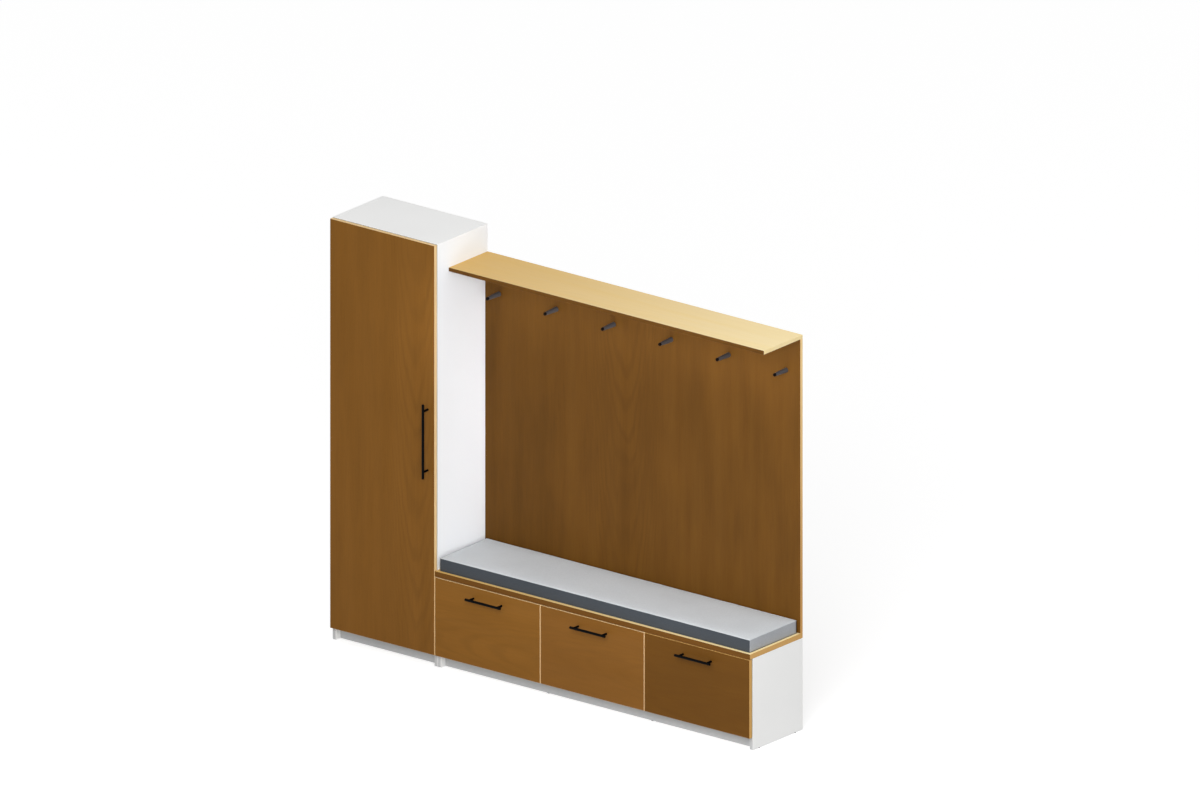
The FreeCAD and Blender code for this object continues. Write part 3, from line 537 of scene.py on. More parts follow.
@dataclass(frozen=True)
class Metal(Finish):
    """Bare or coated metal: brushed or speckled, with slightly uneven gloss."""

    metallic: float = 1.0
    roughness: float = 0.3
    speckle: float = 900.0
    relief: float = 0.02
    gloss: float = 0.5
    dulling: float = 0.86

    def tone(self, shader: Shader, smears: bpy.types.NodeSocket) -> bpy.types.NodeSocket:
        """Give the surface its colour.

        Args:
            shader: The shader to add to.
            smears: Where the surface is duller, 0 to 1.

        Returns:
            The colour output.
        """
        return shader.blend(smears, self.colour, tuple(channel * self.dulling for channel in self.colour))

    def mix(self, shader: Shader) -> None:
        """Fill in the shader's nodes.

        Args:
            shader: The shader to fill in.
        """
        grains = shader.cloud(shader.place, scale=self.speckle, detail=2)
        smears = shader.cloud(shader.place, scale=18, detail=3)
        shader.set(base_color=self.tone(shader, shader.span(smears, *UPPER_NOISE)))
        shader.set(metallic=self.metallic, specular_ior_level=self.gloss)
        shader.set(roughness=shader.span(smears, *MOST_NOISE, self.roughness - 0.04, self.roughness + 0.07))
        shader.bump(grains, depth=self.relief * MM, strength=0.6)


@dataclass(frozen=True)
class PegCoat(Metal):
    """The coat of the pegs, with a cap of another colour on their front ends."""

    cap_colour: Colour = (0.0, 0.0, 0.0)
    cap_depth: float = 8 * MM

    def tone(self, shader: Shader, smears: bpy.types.NodeSocket) -> bpy.types.NodeSocket:
        """Give the surface its colour.

        Args:
            shader: The shader to add to.
            smears: Where the surface is duller, 0 to 1.

        Returns:
            The colour output.
        """
        cap_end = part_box("coat_pegs")[0].y + self.cap_depth
        capped = shader.sum("LESS_THAN", shader.dot(shader.place, Side.REAR.value), cap_end)
        return shader.blend(capped, super().tone(shader, smears), self.cap_colour)


@dataclass(frozen=True)
class Plastic(Finish):
    """Moulded plastic with a fine spark-eroded texture."""

    roughness: float = 0.5
    fading: float = 1.18

    def mix(self, shader: Shader) -> None:
        """Fill in the shader's nodes.

        Args:
            shader: The shader to fill in.
        """
        grains = shader.cloud(shader.place, scale=1400, detail=2)
        broad = shader.cloud(shader.place, scale=12, detail=2)
        faded = tuple(channel * self.fading for channel in self.colour)
        shader.set(base_color=shader.blend(shader.span(broad, *UPPER_NOISE), self.colour, faded))
        shader.set(roughness=shader.span(grains, *MOST_NOISE, self.roughness - 0.05, self.roughness + 0.08))
        shader.set(specular_ior_level=0.06)
        shader.bump(grains, depth=0.03 * MM, strength=0.5)


@dataclass(frozen=True)
class Fabric(Finish):
    """Woven upholstery: over-and-under threads, mixed yarns and a little fuzz."""

    weave: Weave = Weave.LEVEL
    thread: float = 1.6 * MM
    thread_tones: tuple[float, float] = (0.93, 1.07)
    melange: float = 0.16
    unevenness: float = 0.025
    yarn_relief: float = 0.4

    def mix(self, shader: Shader) -> None:
        """Fill in the shader's nodes.

        Args:
            shader: The shader to fill in.
        """
        axes = shader.add("SeparateXYZ", shader.place).outputs
        waves = [shader.sum("SINE", shader.sum("MULTIPLY", axes[axis], math.pi / self.thread))
                 for axis in self.weave.value]
        threads = shader.span(shader.sum("MULTIPLY", *waves), -1, 1)
        yarns = shader.cloud(shader.place, scale=520, detail=3, roughness=0.7)
        broad = shader.cloud(shader.place, scale=5, detail=2)
        tone = shader.sum("MULTIPLY_ADD", shader.swing(yarns), self.melange,
                          shader.span(threads, 0, 1, *self.thread_tones))
        tone = shader.sum("MULTIPLY_ADD", shader.swing(broad, MIDDLE_NOISE), self.unevenness, tone)
        shader.set(base_color=shader.toned(self.colour, tone), roughness=0.92, specular_ior_level=0.15)
        shader.set(sheen_weight=0.12, sheen_roughness=0.5)
        relief = shader.sum("MULTIPLY_ADD", yarns, self.yarn_relief, threads)
        shader.bump(relief, depth=0.5 * MM, strength=0.55)


# The door, panel, drawer fronts and shelf front are copies of one oak laminate, set darker or lighter piece
# by piece as painted shade and painted light; the pale tops and edges below are copies painted as lit faces.
DOOR_OAK = Wood("door_oak", shade(117, 77, 27), Grain.UP, heart=-0.86)
# The panel's copy is painted darker than the door's as shade, and lightens towards its right end as painted
# light.
PANEL_OAK_SHADE_AND_LIGHT = Wood("panel_oak", shade(91, 59, 18), Grain.UP, shift=(3.1, 0.4, 0.2),
                 lit_end_colour=shade(101, 66, 22), streak=0.1, band=0.085, heart=0.39, leaf_width=1.2,
                 bow=240.0)
# Each drawer front is a copy of the oak set lighter or darker as painted light and shade.
LIT_AND_SHADED_DRAWER_OAK = {
    "left": Wood("left_drawer_oak", shade(126, 84, 31), Grain.ACROSS, shift=(0.3, 0.1, 1.7), heart=0.0,
                 figure=0.085, streak=0.06, band=0.04, fibre=0.04),
    "centre": Wood("centre_drawer_oak", shade(121, 80, 31), Grain.ACROSS, shift=(1.9, 0.5, 4.2), heart=0.05,
                   figure=0.06, streak=0.06, band=0.04, fibre=0.04),
    # The right drawer's front is painted darker as shade.
    "right": Wood("right_drawer_oak", shade(98, 63, 18), Grain.ACROSS, shift=(2.7, 0.2, 7.9), heart=-0.02,
                  figure=0.06, streak=0.06, band=0.04, fibre=0.04),
}
BOARD_OAK = Wood("board_oak", shade(99, 63, 20), Grain.ACROSS, shift=(0.9, 2.2, 0.6))
# The shelf's front and underside take a darker copy of the board oak: painted shade that offsets the low
# lamp's light.
SHADED_SHELF_OAK = Wood("shelf_oak", shade(85, 54, 16), Grain.ACROSS, shift=(2.2, 3.5, 1.4))
# The shelf's and the seat board's tops, and the shelf's ends and back, are a pale copy of the oak painted as
# lit faces, with a painted highlight that brightens towards the right end.
LIT_OAK_TOP = Wood("pale_oak_top", shade(217, 177, 104), Grain.ACROSS, shift=(5.3, 1.2, 2.0),
                lit_end_colour=shade(246, 224, 170), figure=0.025, streak=0.01, band=0.0125, fibre=0.02)
# The panel's edges are a pale copy of the oak painted as lit faces, lighter towards the top as painted
# light.
LIT_PANEL_EDGE = Wood("warm_oak_edge", shade(205, 156, 94), Grain.UP, shift=(2.3, 4.1, 7.0),
                 lit_end_colour=shade(249, 214, 154), light_drift_axis="Z", light_drift_ends=(0.71, 1.81), figure=0.04,
                 streak=0.01, band=0.02, fibre=0.03)
# The left and centre drawers' edges are a pale copy of the oak painted as lit faces, brighter than the right
# drawer's, as painted light in the gaps.
LIT_DRAWER_EDGE = Wood("pale_oak_edge", shade(236, 205, 156), Grain.UP, shift=(1.1, 6.0, 3.0), figure=0.04,
                 streak=0.01, band=0.02, fibre=0.03)
# The door's edges are a pale copy of the oak painted as lit faces.
LIT_DOOR_EDGE = Wood("door_oak_edge", shade(228, 195, 143), Grain.UP, shift=(6.2, 1.3, 5.0), figure=0.04,
                 streak=0.01, band=0.02, fibre=0.03)
# The seat board's ends and the right drawer's edges are a tan copy of the oak painted as half-lit faces.
HALF_LIT_OAK_EDGE = Wood("tan_oak_edge", shade(205, 160, 95), Grain.DEEP, shift=(4.4, 0.9, 8.0), figure=0.05,
                streak=0.01, band=0.025, fibre=0.03)
WHITE = Laminate("white_melamine", shade(248, 248, 247), roughness=0.62, unevenness=0.01)
# The tall cabinet's right face takes a cooler copy of the white: painted light that cancels the warm light
# bounced from the oak.
BOUNCE_OFFSET_WHITE = Laminate("cool_white_melamine", shade(246, 249, 253), roughness=0.62, unevenness=0.01)
# The white boards' front faces and front edges, the plinths among them, are painted grey as shade.
SHADED_WHITE_FRONT = Laminate("grey_edge_band", shade(186, 187, 188), roughness=0.5)
HARDBOARD = Laminate("painted_hardboard", shade(238, 238, 235), roughness=0.6, unevenness=0.03)
DRAWER_WHITE = Laminate("drawer_melamine", shade(233, 233, 230), roughness=0.5)
BLACK_COAT = Metal("black_powder_coat", shade(5, 5, 6), metallic=0.0, roughness=0.45, relief=0.06,
                   gloss=0.04)
GRAPHITE = PegCoat("graphite_coat", shade(87, 85, 88), metallic=0.0, roughness=0.4, relief=0.05,
                   gloss=0.04, cap_colour=shade(4, 4, 5))
CHROME = Metal("polished_chrome", shade(225, 227, 230), roughness=0.1, relief=0.0)
STEEL = Metal("zinc_plated_steel", shade(196, 199, 203), roughness=0.34)
ZINC = Metal("cast_zinc", shade(178, 180, 184), roughness=0.48, relief=0.06)
BEECH = Wood("turned_beech", shade(226, 196, 156), Grain.ACROSS, figure=0.05, streak=0.01, band=0.025,
             fibre=0.05, roughness=0.6)
BLACK_PLASTIC = Plastic("moulded_plastic", shade(40, 40, 42))
# The cushion's cloth is one grey in three painted copies: lit on the top, painted shade on the front and
# rear, half lit on the ends.
LIT_TOP_FABRIC = Fabric("light_grey_fabric", shade(202, 207, 211), Weave.LEVEL)
SHADED_SIDE_FABRIC = Fabric("dark_grey_fabric", shade(62, 67, 73), Weave.FACING)
HALF_LIT_END_FABRIC = Fabric("mid_grey_fabric", shade(165, 168, 173), Weave.ENDWAYS)


def paint(node: str, base: Finish, edging: Finish | None = None, **sides: Finish) -> None:
    """Give a carried-over node its finishes, face by face.

    Args:
        node: The node's name.
        base: The finish of every face that isn't named.
        edging: The finish of the rounded edges, if they don't go with the faces beside them.
        sides: The finishes of the faces on named sides, in lower case.
    """
    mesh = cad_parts[node].data
    chosen = [base]
    mesh.materials.clear()
    mesh.materials.append(base.material())
    by_side = {Side[name.upper()]: finish for name, finish in sides.items()}
    for polygon in mesh.polygons:
        finish = by_side.get(Side.leaning(polygon.normal), base)
        if edging and not Side.of(polygon.normal):
            finish = edging
        if finish not in chosen:
            chosen.append(finish)
            mesh.materials.append(finish.material())
        polygon.material_index = chosen.index(finish)
    log.info("painted %s with %s", node, ", ".join(finish.name for finish in chosen))


def paint_all(nodes: Iterable[str], base: Finish) -> None:
    """Give several nodes one finish.

    Args:
        nodes: The nodes' names.
        base: Their finish.
    """
    for node in nodes:
        paint(node, base)


def paint_boards(nodes: Iterable[str], **sides: Finish) -> None:
    """Make boards white, with their front faces and front edges painted grey as shade.

    Args:
        nodes: The nodes' names.
        sides: The finishes of the faces on other named sides.
    """
    for node in nodes:
        paint(node, WHITE, edging=WHITE, front=SHADED_WHITE_FRONT, **sides)


def solids(node: str) -> list[tuple[Vector, Vector]]:
    """Find the separate solids of a node.

    Args:
        node: The node's name.

    Returns:
        Each solid's lowest and highest corner, from left to right and from the floor up.
    """
    mesh = bmesh.new()
    mesh.from_mesh(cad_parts[node].data)
    bmesh.ops.remove_doubles(mesh, verts=mesh.verts, dist=SAME_SPOT)
    left = set(mesh.verts)
    boxes = []
    while left:
        stack = [left.pop()]
        corners = []
        while stack:
            vertex = stack.pop()
            corners.append(vertex.co.copy())
            linked = {edge.other_vert(vertex) for edge in vertex.link_edges} & left
            left -= linked
            stack.extend(linked)
        boxes.append((Vector(map(min, *corners)), Vector(map(max, *corners))))
    mesh.free()
    return sorted(boxes, key=lambda box: (round(box[0].x, 3), round(box[0].z, 3), round(box[0].y, 3)))


def piece(name: str, mesh: bmesh.types.BMesh, body: str, finishes: Iterable[Finish],
          smooth: bool = True) -> bpy.types.Object:
    """Make a piece from a mesh and let it ride on a body.

    Args:
        name: The piece's name.
        mesh: Its mesh, in place. It is used up.
        body: The body that it rides on.
        finishes: Its finishes, in the order of its faces' numbers.
        smooth: Whether its faces are shaded as round ones.

    Returns:
        The piece.
    """
    data = bpy.data.meshes.new(name)
    bmesh.ops.recalc_face_normals(mesh, faces=mesh.faces)
    mesh.to_mesh(data)
    mesh.free()
    for finish in finishes:
        data.materials.append(finish.material())
    data.polygons.foreach_set("use_smooth", [smooth] * len(data.polygons))
    made = bpy.data.objects.new(name, data)
    bpy.context.scene.collection.objects.link(made)
    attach(made, body)
    log.info("built %s, %d faces, riding on %s", name, len(data.polygons), body)
    return made


@dataclass
class TallCabinet:
    """The tall cabinet's carcass and what is inside it."""

    boards: tuple[str, ...] = ("wardrobe_left_side", "wardrobe_top", "wardrobe_bottom", "hat_shelf",
                               "shoe_shelf", "wall_rail", "wardrobe_plinth")

    def dress(self) -> None:
        """Give the boards, the back and the fittings their finishes."""
        paint_boards(self.boards)
        # The right face takes the cooler copy of the white, as painted light against the bounce from the
        # oak.
        paint_boards(["wardrobe_right_side"], right=BOUNCE_OFFSET_WHITE)
        paint("wardrobe_back", HARDBOARD)
        paint("coat_rail", CHROME)
        paint_all(("coat_rail_brackets", "shelf_pins"), STEEL)


@dataclass
class Door:
    """The door, its bar handle and its hinges."""

    def dress(self) -> None:
        """Give the door its grain and its edges painted pale as lit faces, and the metal its finishes."""
        paint("door_panel", LIT_DOOR_EDGE, edging=LIT_DOOR_EDGE, front=DOOR_OAK, rear=DOOR_OAK)
        paint("door_handle", BLACK_COAT)
        paint_all(("door_handle_screws", "hinge_cups", "hinge_arms", "hinge_pins"), STEEL)


@dataclass
class Bench:
    """The bench's carcass and the board on top of it."""

    boards: tuple[str, ...] = ("bench_left_side", "bench_right_side", "bench_left_divider",
                               "bench_right_divider", "bench_bottom", "bench_plinths")

    def dress(self) -> None:
        """Give the boards, the back and the runners' outer rails their finishes."""
        paint_boards(self.boards)
        paint("bench_back", HARDBOARD)
        # The seat board's top is painted pale as a lit face, and its ends tan as half-lit faces.
        paint("seat_board", BOARD_OAK, top=LIT_OAK_TOP, right=HALF_LIT_OAK_EDGE, left=HALF_LIT_OAK_EDGE)
        paint("cabinet_rails", STEEL)


@dataclass
class Drawer:
    """One drawer with its front, box, handle and runners."""

    name: str
    oak: Wood
    edge: Wood

    def dress(self) -> None:
        """Give the drawer's pieces their finishes."""
        # The front's edges take a pale copy of the oak, painted as lit faces.
        paint(f"{self.name}_drawer_front", self.edge, edging=self.edge, front=self.oak, rear=self.oak)
        paint_all((f"{self.name}_drawer_{part}" for part in ("sides", "back", "floor")), DRAWER_WHITE)
        paint(f"{self.name}_drawer_handle", BLACK_COAT)
        paint_all((f"{self.name}_drawer_screws", f"{self.name}_drawer_rails",
                   f"{self.name}_middle_rails"), STEEL)


@dataclass
class WallPanel:
    """The panel with the coat pegs, and the shelf on its top edge."""

    def dress(self) -> None:
        """Give the panel, the shelf and the pegs their finishes."""
        # The panel's edges are painted pale as lit faces, lighter towards the top.
        paint("wall_panel", LIT_PANEL_EDGE, front=PANEL_OAK_SHADE_AND_LIGHT, rear=PANEL_OAK_SHADE_AND_LIGHT)
        # The shelf's top, ends and back are painted pale as lit faces, and its front and underside darker as
        # shade.
        paint("top_shelf", SHADED_SHELF_OAK, top=LIT_OAK_TOP, left=LIT_OAK_TOP, right=LIT_OAK_TOP, rear=LIT_OAK_TOP)
        paint("coat_pegs", GRAPHITE)
        paint("peg_screws", STEEL)


@dataclass
class Fittings:
    """The cams, bolts, dowels and glides that join the boards and carry them."""

    def dress(self) -> None:
        """Give the fittings their finishes."""
        paint("cam_locks", ZINC)
        paint("cam_bolts", STEEL)
        paint("wood_dowels", BEECH)
        paint("floor_glides", BLACK_PLASTIC)


@dataclass
class SeatCushion:
    """A long foam pad in a tight woven cover: a panel above, a band round it and a flat foot."""

    cell: float = 12 * MM
    inset: float = 0.5 * MM
    crown: float = 3 * MM
    draw_in: float = 2 * MM
    most_swell: float = 3 * MM
    seam_radius: float = 1.2 * MM
    cord_sides: int = 8
    seam_crease: float = 0.9
    pressure: float = 4.0
    cloth_quality: int = 6
    frames: int = 20
    fill: float = 0.8
    rear_gap: float = 8 * MM
    end_falloff: int = 8
    side_falloff: int = 4
    foot_depth: float = 0.1 * MM
    still_share: float = 0.05
    ripple: float = 0.5 * MM
    ripple_waves: tuple[float, float, float] = (9.0, 14.0, 2.0)
    low: Vector = field(default_factory=lambda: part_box("seat_cushion")[0])
    high: Vector = field(default_factory=lambda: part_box("seat_cushion")[1])

    def shell(self) -> bmesh.types.BMesh:
        """Make the cover before it is filled: a box of small square cells.

        Returns:
            The box's mesh, in place.
        """
        low = self.low + Vector((self.inset, self.inset, 0))
        high = self.high - Vector((self.inset, self.inset + self.rear_gap, self.inset))
        counts = [max(2, round((high[axis] - low[axis]) / self.cell)) for axis in range(3)]
        mesh = bmesh.new()
        corners = {}

        def corner(step: tuple[int, int, int]) -> bmesh.types.BMVert:
            """Give the vertex at a step of the grid, made once.

            Args:
                step: How many cells along each axis it lies.

            Returns:
                The vertex.
            """
            if step not in corners:
                at = [low[axis] + (high[axis] - low[axis]) * step[axis] / counts[axis] for axis in range(3)]
                corners[step] = mesh.verts.new(at)
            return corners[step]

        for axis in range(3):
            first, second = [other for other in range(3) if other != axis]
            for end in (0, counts[axis]):
                for one in range(counts[first]):
                    for two in range(counts[second]):
                        steps = []
                        for add_one, add_two in ((0, 0), (1, 0), (1, 1), (0, 1)):
                            step = [0, 0, 0]
                            step[axis] = end
                            step[first] = one + add_one
                            step[second] = two + add_two
                            steps.append(tuple(step))
                        mesh.faces.new([corner(step) for step in steps])
        bmesh.ops.recalc_face_normals(mesh, faces=mesh.faces)
        return mesh

    def fill_cover(self, mesh: bmesh.types.BMesh) -> None:
        """Blow the cover up between its seams, as foam does, and keep its foot flat.

        Args:
            mesh: The cover's mesh, which is changed in place.
        """
        mesh.verts.ensure_lookup_table()
        mesh.verts.index_update()
        rest = [vertex.co.copy() for vertex in mesh.verts]
        seams = [vertex.index for vertex in mesh.verts
                 if len({Side.of(face.normal) for face in vertex.link_faces}) > 1]
        foot = min(spot.z for spot in rest)
        held = sorted(set(seams) | {number for number, spot in enumerate(rest)
                                    if spot.z < foot + self.foot_depth})

        data = bpy.data.meshes.new("cushion_cover")
        mesh.to_mesh(data)
        cover = bpy.data.objects.new("cushion_cover", data)
        bpy.context.scene.collection.objects.link(cover)
        cover.vertex_groups.new(name="held").add(held, 1.0, "REPLACE")
        cloth = cover.modifiers.new("filling", "CLOTH")
        cloth.settings.vertex_group_mass = "held"
        cloth.settings.use_pressure = True
        cloth.settings.uniform_pressure_force = self.pressure
        cloth.settings.quality = self.cloth_quality
        cloth.settings.effector_weights.gravity = 0
        cloth.point_cache.frame_start = 1
        cloth.point_cache.frame_end = self.frames
        for number in range(1, self.frames + 1):
            bpy.context.scene.frame_set(number)
        filled = cover.evaluated_get(bpy.context.evaluated_depsgraph_get())
        moved = [Vector(vertex.co) for vertex in filled.data.vertices]
        bpy.context.scene.frame_set(1)
        bpy.data.objects.remove(cover)
        for vertex, start, end in zip(mesh.verts, rest, moved):
            step = end - start
            vertex.co = start + step * min(1.0, self.most_swell / max(step.length, NO_LENGTH))

    def settle(self, mesh: bmesh.types.BMesh) -> None:
        """Crown the top, draw in the long sides and let the cloth lie a little unevenly.

        Args:
            mesh: The cover's mesh, which is changed in place.
        """
        middle = (self.low + self.high) / 2
        half = (self.high - self.low) / 2
        for vertex in mesh.verts:
            across = (vertex.co.x - middle.x) / half.x
            back = (vertex.co.y - middle.y) / half.y
            up = (vertex.co.z - self.low.z) / (self.high.z - self.low.z)
            vertex.co.y -= back * self.draw_in * (1 - across ** 2)
            level = max(0.0, 1 - across ** self.end_falloff) * max(0.0, 1 - back ** self.side_falloff)
            vertex.co.z += self.crown * up * level
            if up > self.still_share:
                place = (vertex.co.x, vertex.co.y, up)
                waves = Vector([at * wave for at, wave in zip(place, self.ripple_waves)])
                vertex.co.z += self.ripple * noise.noise(waves) * up

    def seam_lines(self, mesh: bmesh.types.BMesh) -> list[list[Vector]]:
        """Find the closed lines of the upper and lower seams.

        Args:
            mesh: The cover's mesh.

        Returns:
            The points of each line, in order.
        """
        lines = []
        for upper in (True, False):
            level = Side.TOP if upper else Side.UNDER
            edges = [edge for edge in mesh.edges if len(edge.link_faces) == 2
                     and (edge.link_faces[0].material_index == 0) != (edge.link_faces[1].material_index == 0)
                     and any(face.normal.dot(Vector(level.value)) > FACING_ENOUGH
                             for face in edge.link_faces)]
            after = {}
            for edge in edges:
                for vertex in edge.verts:
                    after.setdefault(vertex, []).append(edge.other_vert(vertex))
            start = edges[0].verts[0]
            line, before, here = [start.co.copy()], None, start
            while True:
                onward = [vertex for vertex in after[here] if vertex is not before]
                before, here = here, onward[0]
                if here is start:
                    break
                line.append(here.co.copy())
            lines.append(line)
        return lines

    def piping(self, line: list[Vector]) -> bmesh.types.BMesh:
        """Make the cord that is sewn into a seam.

        Args:
            line: The seam's points, in order.

        Returns:
            The cord's mesh.
        """
        mesh = bmesh.new()
        sides = self.cord_sides
        rings = []
        for number, spot in enumerate(line):
            ahead = (line[(number + 1) % len(line)] - line[number - 1]).normalized()
            out = ahead.cross(Vector(Side.TOP.value)).normalized()
            rings.append([mesh.verts.new(spot + (out * math.cos(turn) + out.cross(ahead) * math.sin(turn))
                                         * self.seam_radius)
                          for turn in (math.tau * side / sides for side in range(sides))])
        for number, ring in enumerate(rings):
            following = rings[(number + 1) % len(rings)]
            for side in range(sides):
                mesh.faces.new((ring[side], ring[(side + 1) % sides],
                                following[(side + 1) % sides], following[side]))
        return mesh

    def build(self) -> None:
        """Make the cushion and its seams, and let them stand for the solid cushion."""
        mesh = self.shell()
        for face in mesh.faces:
            side = Side.of(face.normal)
            # The faces take painted copies of the cloth: the lit copy on the top and underside, the shaded
            # one on the front and rear, the half-lit one on the ends.
            face.material_index = {Side.FRONT: 1, Side.REAR: 1, Side.LEFT: 2, Side.RIGHT: 2}.get(side, 0)
        self.fill_cover(mesh)
        self.settle(mesh)
        mesh.normal_update()
        lines = self.seam_lines(mesh)
        crease = mesh.edges.layers.float.new("crease_edge")
        for edge in mesh.edges:
            kinds = {face.material_index for face in edge.link_faces}
            edge[crease] = self.seam_crease if len(kinds) > 1 else 0.0
        cushion = piece("seat_cushion_cover", mesh, "cabinet", (LIT_TOP_FABRIC, SHADED_SIDE_FABRIC, HALF_LIT_END_FABRIC))
        smoothing = cushion.modifiers.new("smoothing", "SUBSURF")
        smoothing.levels = smoothing.render_levels = 1
        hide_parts("seat_cushion")
        # The upper seam takes the lit copy of the cloth and the lower seam the shaded copy.
        for name, line, fabric in zip(("upper", "lower"), lines, (LIT_TOP_FABRIC, SHADED_SIDE_FABRIC)):
            seam = piece(f"cushion_{name}_seam", self.piping(line), "cabinet", (fabric,))
            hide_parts("seat_cushion")


@dataclass
class ScrewHeads:
    """Rows of low pan heads with a cross recess, set on the faces that they hold down."""

    diameter: float = 7 * MM
    height: float = 1.4 * MM
    recess: float = 0.8 * MM
    arm: float = 0.28
    arm_reach: float = 0.5
    corner_reach: float = 0.2
    profile: tuple[tuple[float, float], ...] = ((1.0, 0.0), (1.0, 0.45), (0.9, 0.8), (0.68, 1.0))
    segments: int = 24

    def head(self, mesh: bmesh.types.BMesh, at: Vector, out: Vector) -> None:
        """Add one head to a mesh.

        Args:
            mesh: The mesh that the head is added to.
            at: The middle of its foot.
            out: The direction in which it points.
        """
        turn = out.to_track_quat("Z", "Y").to_matrix().to_4x4()
        place = Matrix.Translation(at) @ turn
        radius = self.diameter / 2
        rings = []
        for share, rise in self.profile:
            ring = [mesh.verts.new(place @ Vector((math.cos(angle) * radius * share,
                                                   math.sin(angle) * radius * share, rise * self.height)))
                    for angle in (math.tau * step / self.segments for step in range(self.segments))]
            rings.append(ring)
        for lower, upper in zip(rings, rings[1:]):
            for step in range(self.segments):
                after = (step + 1) % self.segments
                mesh.faces.new((lower[step], lower[after], upper[after], upper[step]))
        mesh.faces.new(list(reversed(rings[0])))
        cross = []
        for step in range(self.segments):
            angle = math.tau * step / self.segments
            quarter = (angle + math.pi / 4) % (math.pi / 2) - math.pi / 4
            reach = self.arm_reach if abs(quarter) < self.arm else self.corner_reach
            cross.append((math.cos(angle) * radius * reach, math.sin(angle) * radius * reach))
        rim = [mesh.verts.new(place @ Vector((x, y, self.height))) for x, y in cross]
        floor = [mesh.verts.new(place @ Vector((x, y, self.height - self.recess))) for x, y in cross]
        for outer, inner in ((rings[-1], rim), (rim, floor)):
            for step in range(self.segments):
                after = (step + 1) % self.segments
                mesh.faces.new((outer[step], outer[after], inner[after], inner[step]))
        mesh.faces.new(floor)

    def row(self, name: str, body: str, spots: Iterable[tuple[Vector, Vector]]) -> None:
        """Make one piece of several heads.

        Args:
            name: The piece's name.
            body: The body that it rides on.
            spots: Each head's foot and direction.
        """
        mesh = bmesh.new()
        for at, out in spots:
            self.head(mesh, at, out)
        piece(name, mesh, body, (STEEL,), smooth=False)


@dataclass
class HingeScrews:
    """The screws that hold the hinges and the coat rail's brackets."""

    plate_thickness: float = 3 * MM
    plate_inset: float = 22 * MM
    plate_step: float = 9.5 * MM
    flange_step: float = 24.5 * MM
    bracket_step: float = 19 * MM
    plate_heads: ScrewHeads = field(default_factory=ScrewHeads)
    flange_heads: ScrewHeads = field(
        default_factory=lambda: ScrewHeads(diameter=6 * MM, height=0.7 * MM, recess=0.5 * MM))

    def build(self) -> None:
        """Set the heads on the hinge plates, the cups' flanges and the brackets."""
        right = Vector(Side.RIGHT.value)
        plates = []
        for low, high in solids("hinge_arms"):
            middle = (low + high) / 2
            for step in (-self.plate_step, self.plate_step):
                spot = Vector((low.x + self.plate_thickness, high.y - self.plate_inset, middle.z + step))
                plates.append((spot, right))
        self.plate_heads.row("hinge_plate_screws", "cabinet", plates)

        flanges = []
        for low, high in solids("hinge_cups"):
            middle = (low + high) / 2
            for step in (-self.flange_step, self.flange_step):
                flanges.append((Vector((middle.x, high.y, middle.z + step)), Vector(Side.REAR.value)))
        self.flange_heads.row("hinge_cup_screws", "door", flanges)

        brackets = []
        for low, high in solids("coat_rail_brackets"):
            middle = (low + high) / 2
            for step in (-self.bracket_step, self.bracket_step):
                spot = Vector((middle.x + step, middle.y, high.z - self.plate_thickness))
                brackets.append((spot, Vector(Side.UNDER.value)))
        self.plate_heads.row("bracket_screws", "cabinet", brackets)


@dataclass(frozen=True)
class Lamp:
    """A soft rectangular lamp, hung and aimed from the spot that it lights."""

    name: str
    size: tuple[float, float]
    power: float
    offset: Triple
    aim: Triple = (0.0, 0.0, 0.0)
    spread: float = 180.0

    def hang(self, spot: Vector) -> None:
        """Hang the lamp.

        Args:
            spot: The place that the offset and the aim are counted from.
        """
        data = bpy.data.lights.new(self.name, "AREA")
        data.shape = "RECTANGLE"
        data.size, data.size_y = self.size
        data.energy = self.power
        data.spread = math.radians(self.spread)
        lamp = bpy.data.objects.new(self.name, data)
        lamp.location = spot + Vector(self.offset)
        lamp.rotation_mode = "QUATERNION"
        lamp.rotation_quaternion = (Vector(self.aim) - Vector(self.offset)).to_track_quat("-Z", "Y")
        lamp.visible_camera = False
        bpy.context.scene.collection.objects.link(lamp)


KEY_LAMP = Lamp("key_lamp", size=(3.0, 3.0), power=245.0, offset=(2.7, -4.2, 2.197))
SIDE_LAMP = Lamp("side_lamp", size=(0.3, 1.3), power=0.8, offset=(2.2, -0.55, 0.0), aim=(0.0, 0.22, 0.0),
                 spread=29.0)
LOW_LAMP = Lamp("low_lamp", size=(1.8, 0.2), power=1.55, offset=(0.0, -1.79, -1.26), aim=(0.0, 0.0, 0.04),
                spread=22.0)


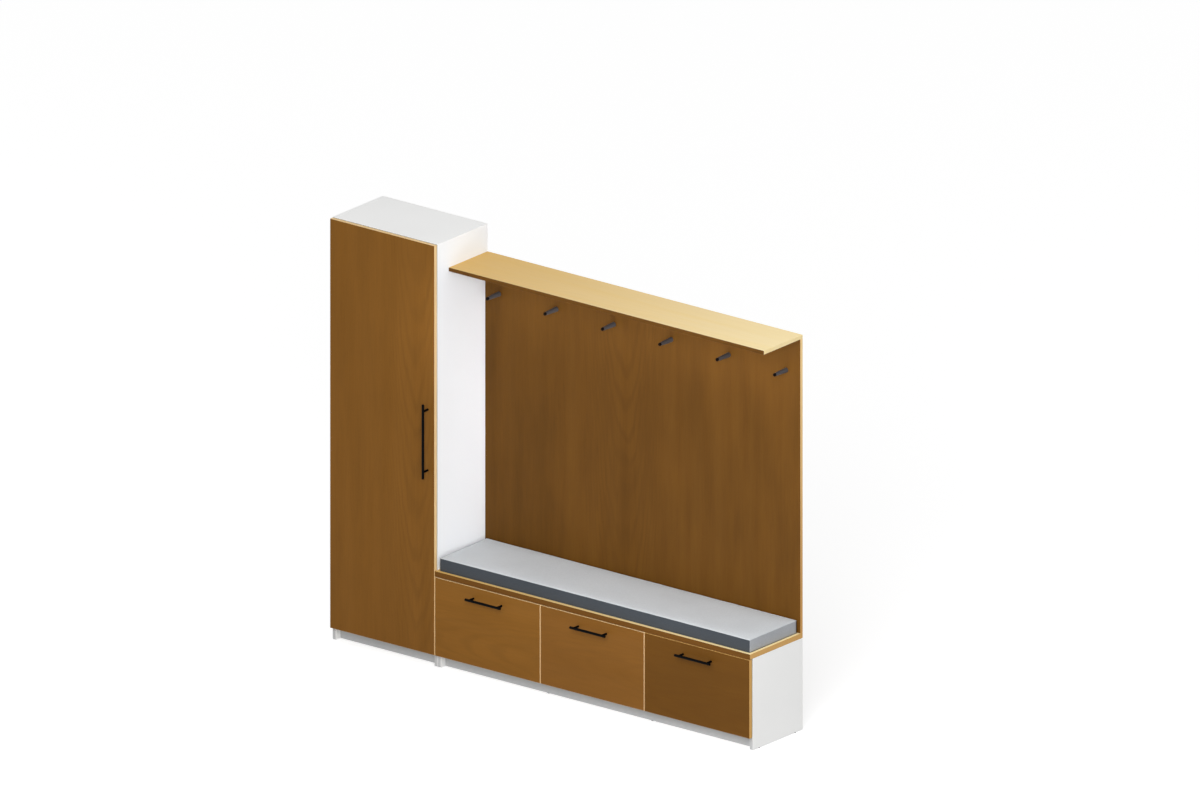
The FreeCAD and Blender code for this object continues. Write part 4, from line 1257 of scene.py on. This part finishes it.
@dataclass
class Studio:
    """The camera of the photograph, a pale floor and soft plain light."""

    azimuth: float = 38.46
    elevation: float = 19.49
    frame_width: float = 5.367
    aim: Vector = field(default_factory=lambda: Vector((0.3438, -0.1695, 1.482)))
    distance: float = 12.0
    brightest_from: Vector = field(default_factory=lambda: Vector((-0.1, 0.0, 1.0)))
    even_light: float = 0.3
    sided_light: float = 0.57
    floor_colour: float = 0.62
    floor_roughness: float = 0.9
    floor_glow: float = 0.56
    floor_half: float = 40.0
    farthest: float = 200.0
    side_height: float = 1.08

    def camera(self) -> None:
        """Set up the parallel camera that looks as the photograph does."""
        data = bpy.data.cameras.new("photo_camera")
        data.type = "ORTHO"
        data.ortho_scale = self.frame_width
        data.clip_end = self.farthest
        camera = bpy.data.objects.new("photo_camera", data)
        bpy.context.scene.collection.objects.link(camera)
        turn, rise = math.radians(self.azimuth), math.radians(self.elevation)
        back = Vector((math.sin(turn) * math.cos(rise), -math.cos(turn) * math.cos(rise), math.sin(rise)))
        camera.location = self.aim + back * self.distance
        camera.rotation_mode = "QUATERNION"
        camera.rotation_quaternion = (-back).to_track_quat("-Z", "Y")
        bpy.context.scene.camera = camera

    def world(self) -> None:
        """Light the scene from a soft dome, brighter from above, and show white behind it."""
        world = bpy.data.worlds.new("studio")
        bpy.context.scene.world = world
        world.use_nodes = True
        tree = Tree(world.node_tree)
        facing = tree.dot(tree.add("TexCoord").outputs["Generated"], self.brightest_from)
        strength = tree.sum("MULTIPLY_ADD", facing, self.sided_light, self.even_light)
        light = tree.nodes["Background"]
        tree.feed(light.inputs["Color"], PLAIN_LIGHT)
        tree.feed(light.inputs["Strength"], tree.sum("MAXIMUM", strength, 0.0))
        backdrop = tree.add("Background", PLAIN_LIGHT)
        both = tree.add("MixShader", tree.seen_rays(), light.outputs[0], backdrop.outputs[0])
        tree.feed(tree.nodes["World Output"].inputs["Surface"], both.outputs[0])

    def floor(self) -> None:
        """Lay a pale floor that shows white to the camera and keeps the row's shadow."""
        data = bpy.data.meshes.new("floor")
        half = self.floor_half
        data.from_pydata([(-half, -half, 0), (half, -half, 0), (half, half, 0), (-half, half, 0)], [],
                         [(0, 1, 2, 3)])
        floor = bpy.data.objects.new("floor", data)
        bpy.context.scene.collection.objects.link(floor)
        shader = Shader("pale_floor")
        shader.set(base_color=(self.floor_colour,) * 3, roughness=self.floor_roughness,
                   specular_ior_level=0.0)
        strength = shader.sum("MULTIPLY", shader.seen_rays(), self.floor_glow)
        glow = shader.add("Emission", PLAIN_LIGHT, strength)
        both = shader.add("AddShader", shader.surface.outputs[0], glow.outputs[0])
        shader.feed(shader.nodes["Material Output"].inputs["Surface"], both.outputs[0])
        data.materials.append(shader.material)

    def build(self) -> None:
        """Set up the camera, the world, the lamps and the floor."""
        self.camera()
        self.world()
        middle = (cad_low + cad_high) / 2
        KEY_LAMP.hang(middle)
        SIDE_LAMP.hang(Vector((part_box("wardrobe_right_side")[1].x, middle.y, self.side_height)))
        panel_low, panel_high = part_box("wall_panel")
        LOW_LAMP.hang(Vector(((panel_low.x + panel_high.x) / 2, panel_low.y, panel_high.z)))
        self.floor()
        bpy.context.scene.view_settings.view_transform = "Standard"


def main() -> None:
    """Build the studio and every sub-assembly in order."""
    logging.basicConfig(level=logging.INFO, format="%(message)s")
    Studio().build()
    TallCabinet().dress()
    Door().dress()
    Bench().dress()
    # The right drawer's edges take a less bright copy than the others', as painted light and shade.
    for name, edge in (("left", LIT_DRAWER_EDGE), ("centre", LIT_DRAWER_EDGE), ("right", HALF_LIT_OAK_EDGE)):
        Drawer(name, LIT_AND_SHADED_DRAWER_OAK[name], edge).dress()
    WallPanel().dress()
    Fittings().dress()
    SeatCushion().build()
    HingeScrews().build()


if __name__ == "__main__":
    main()
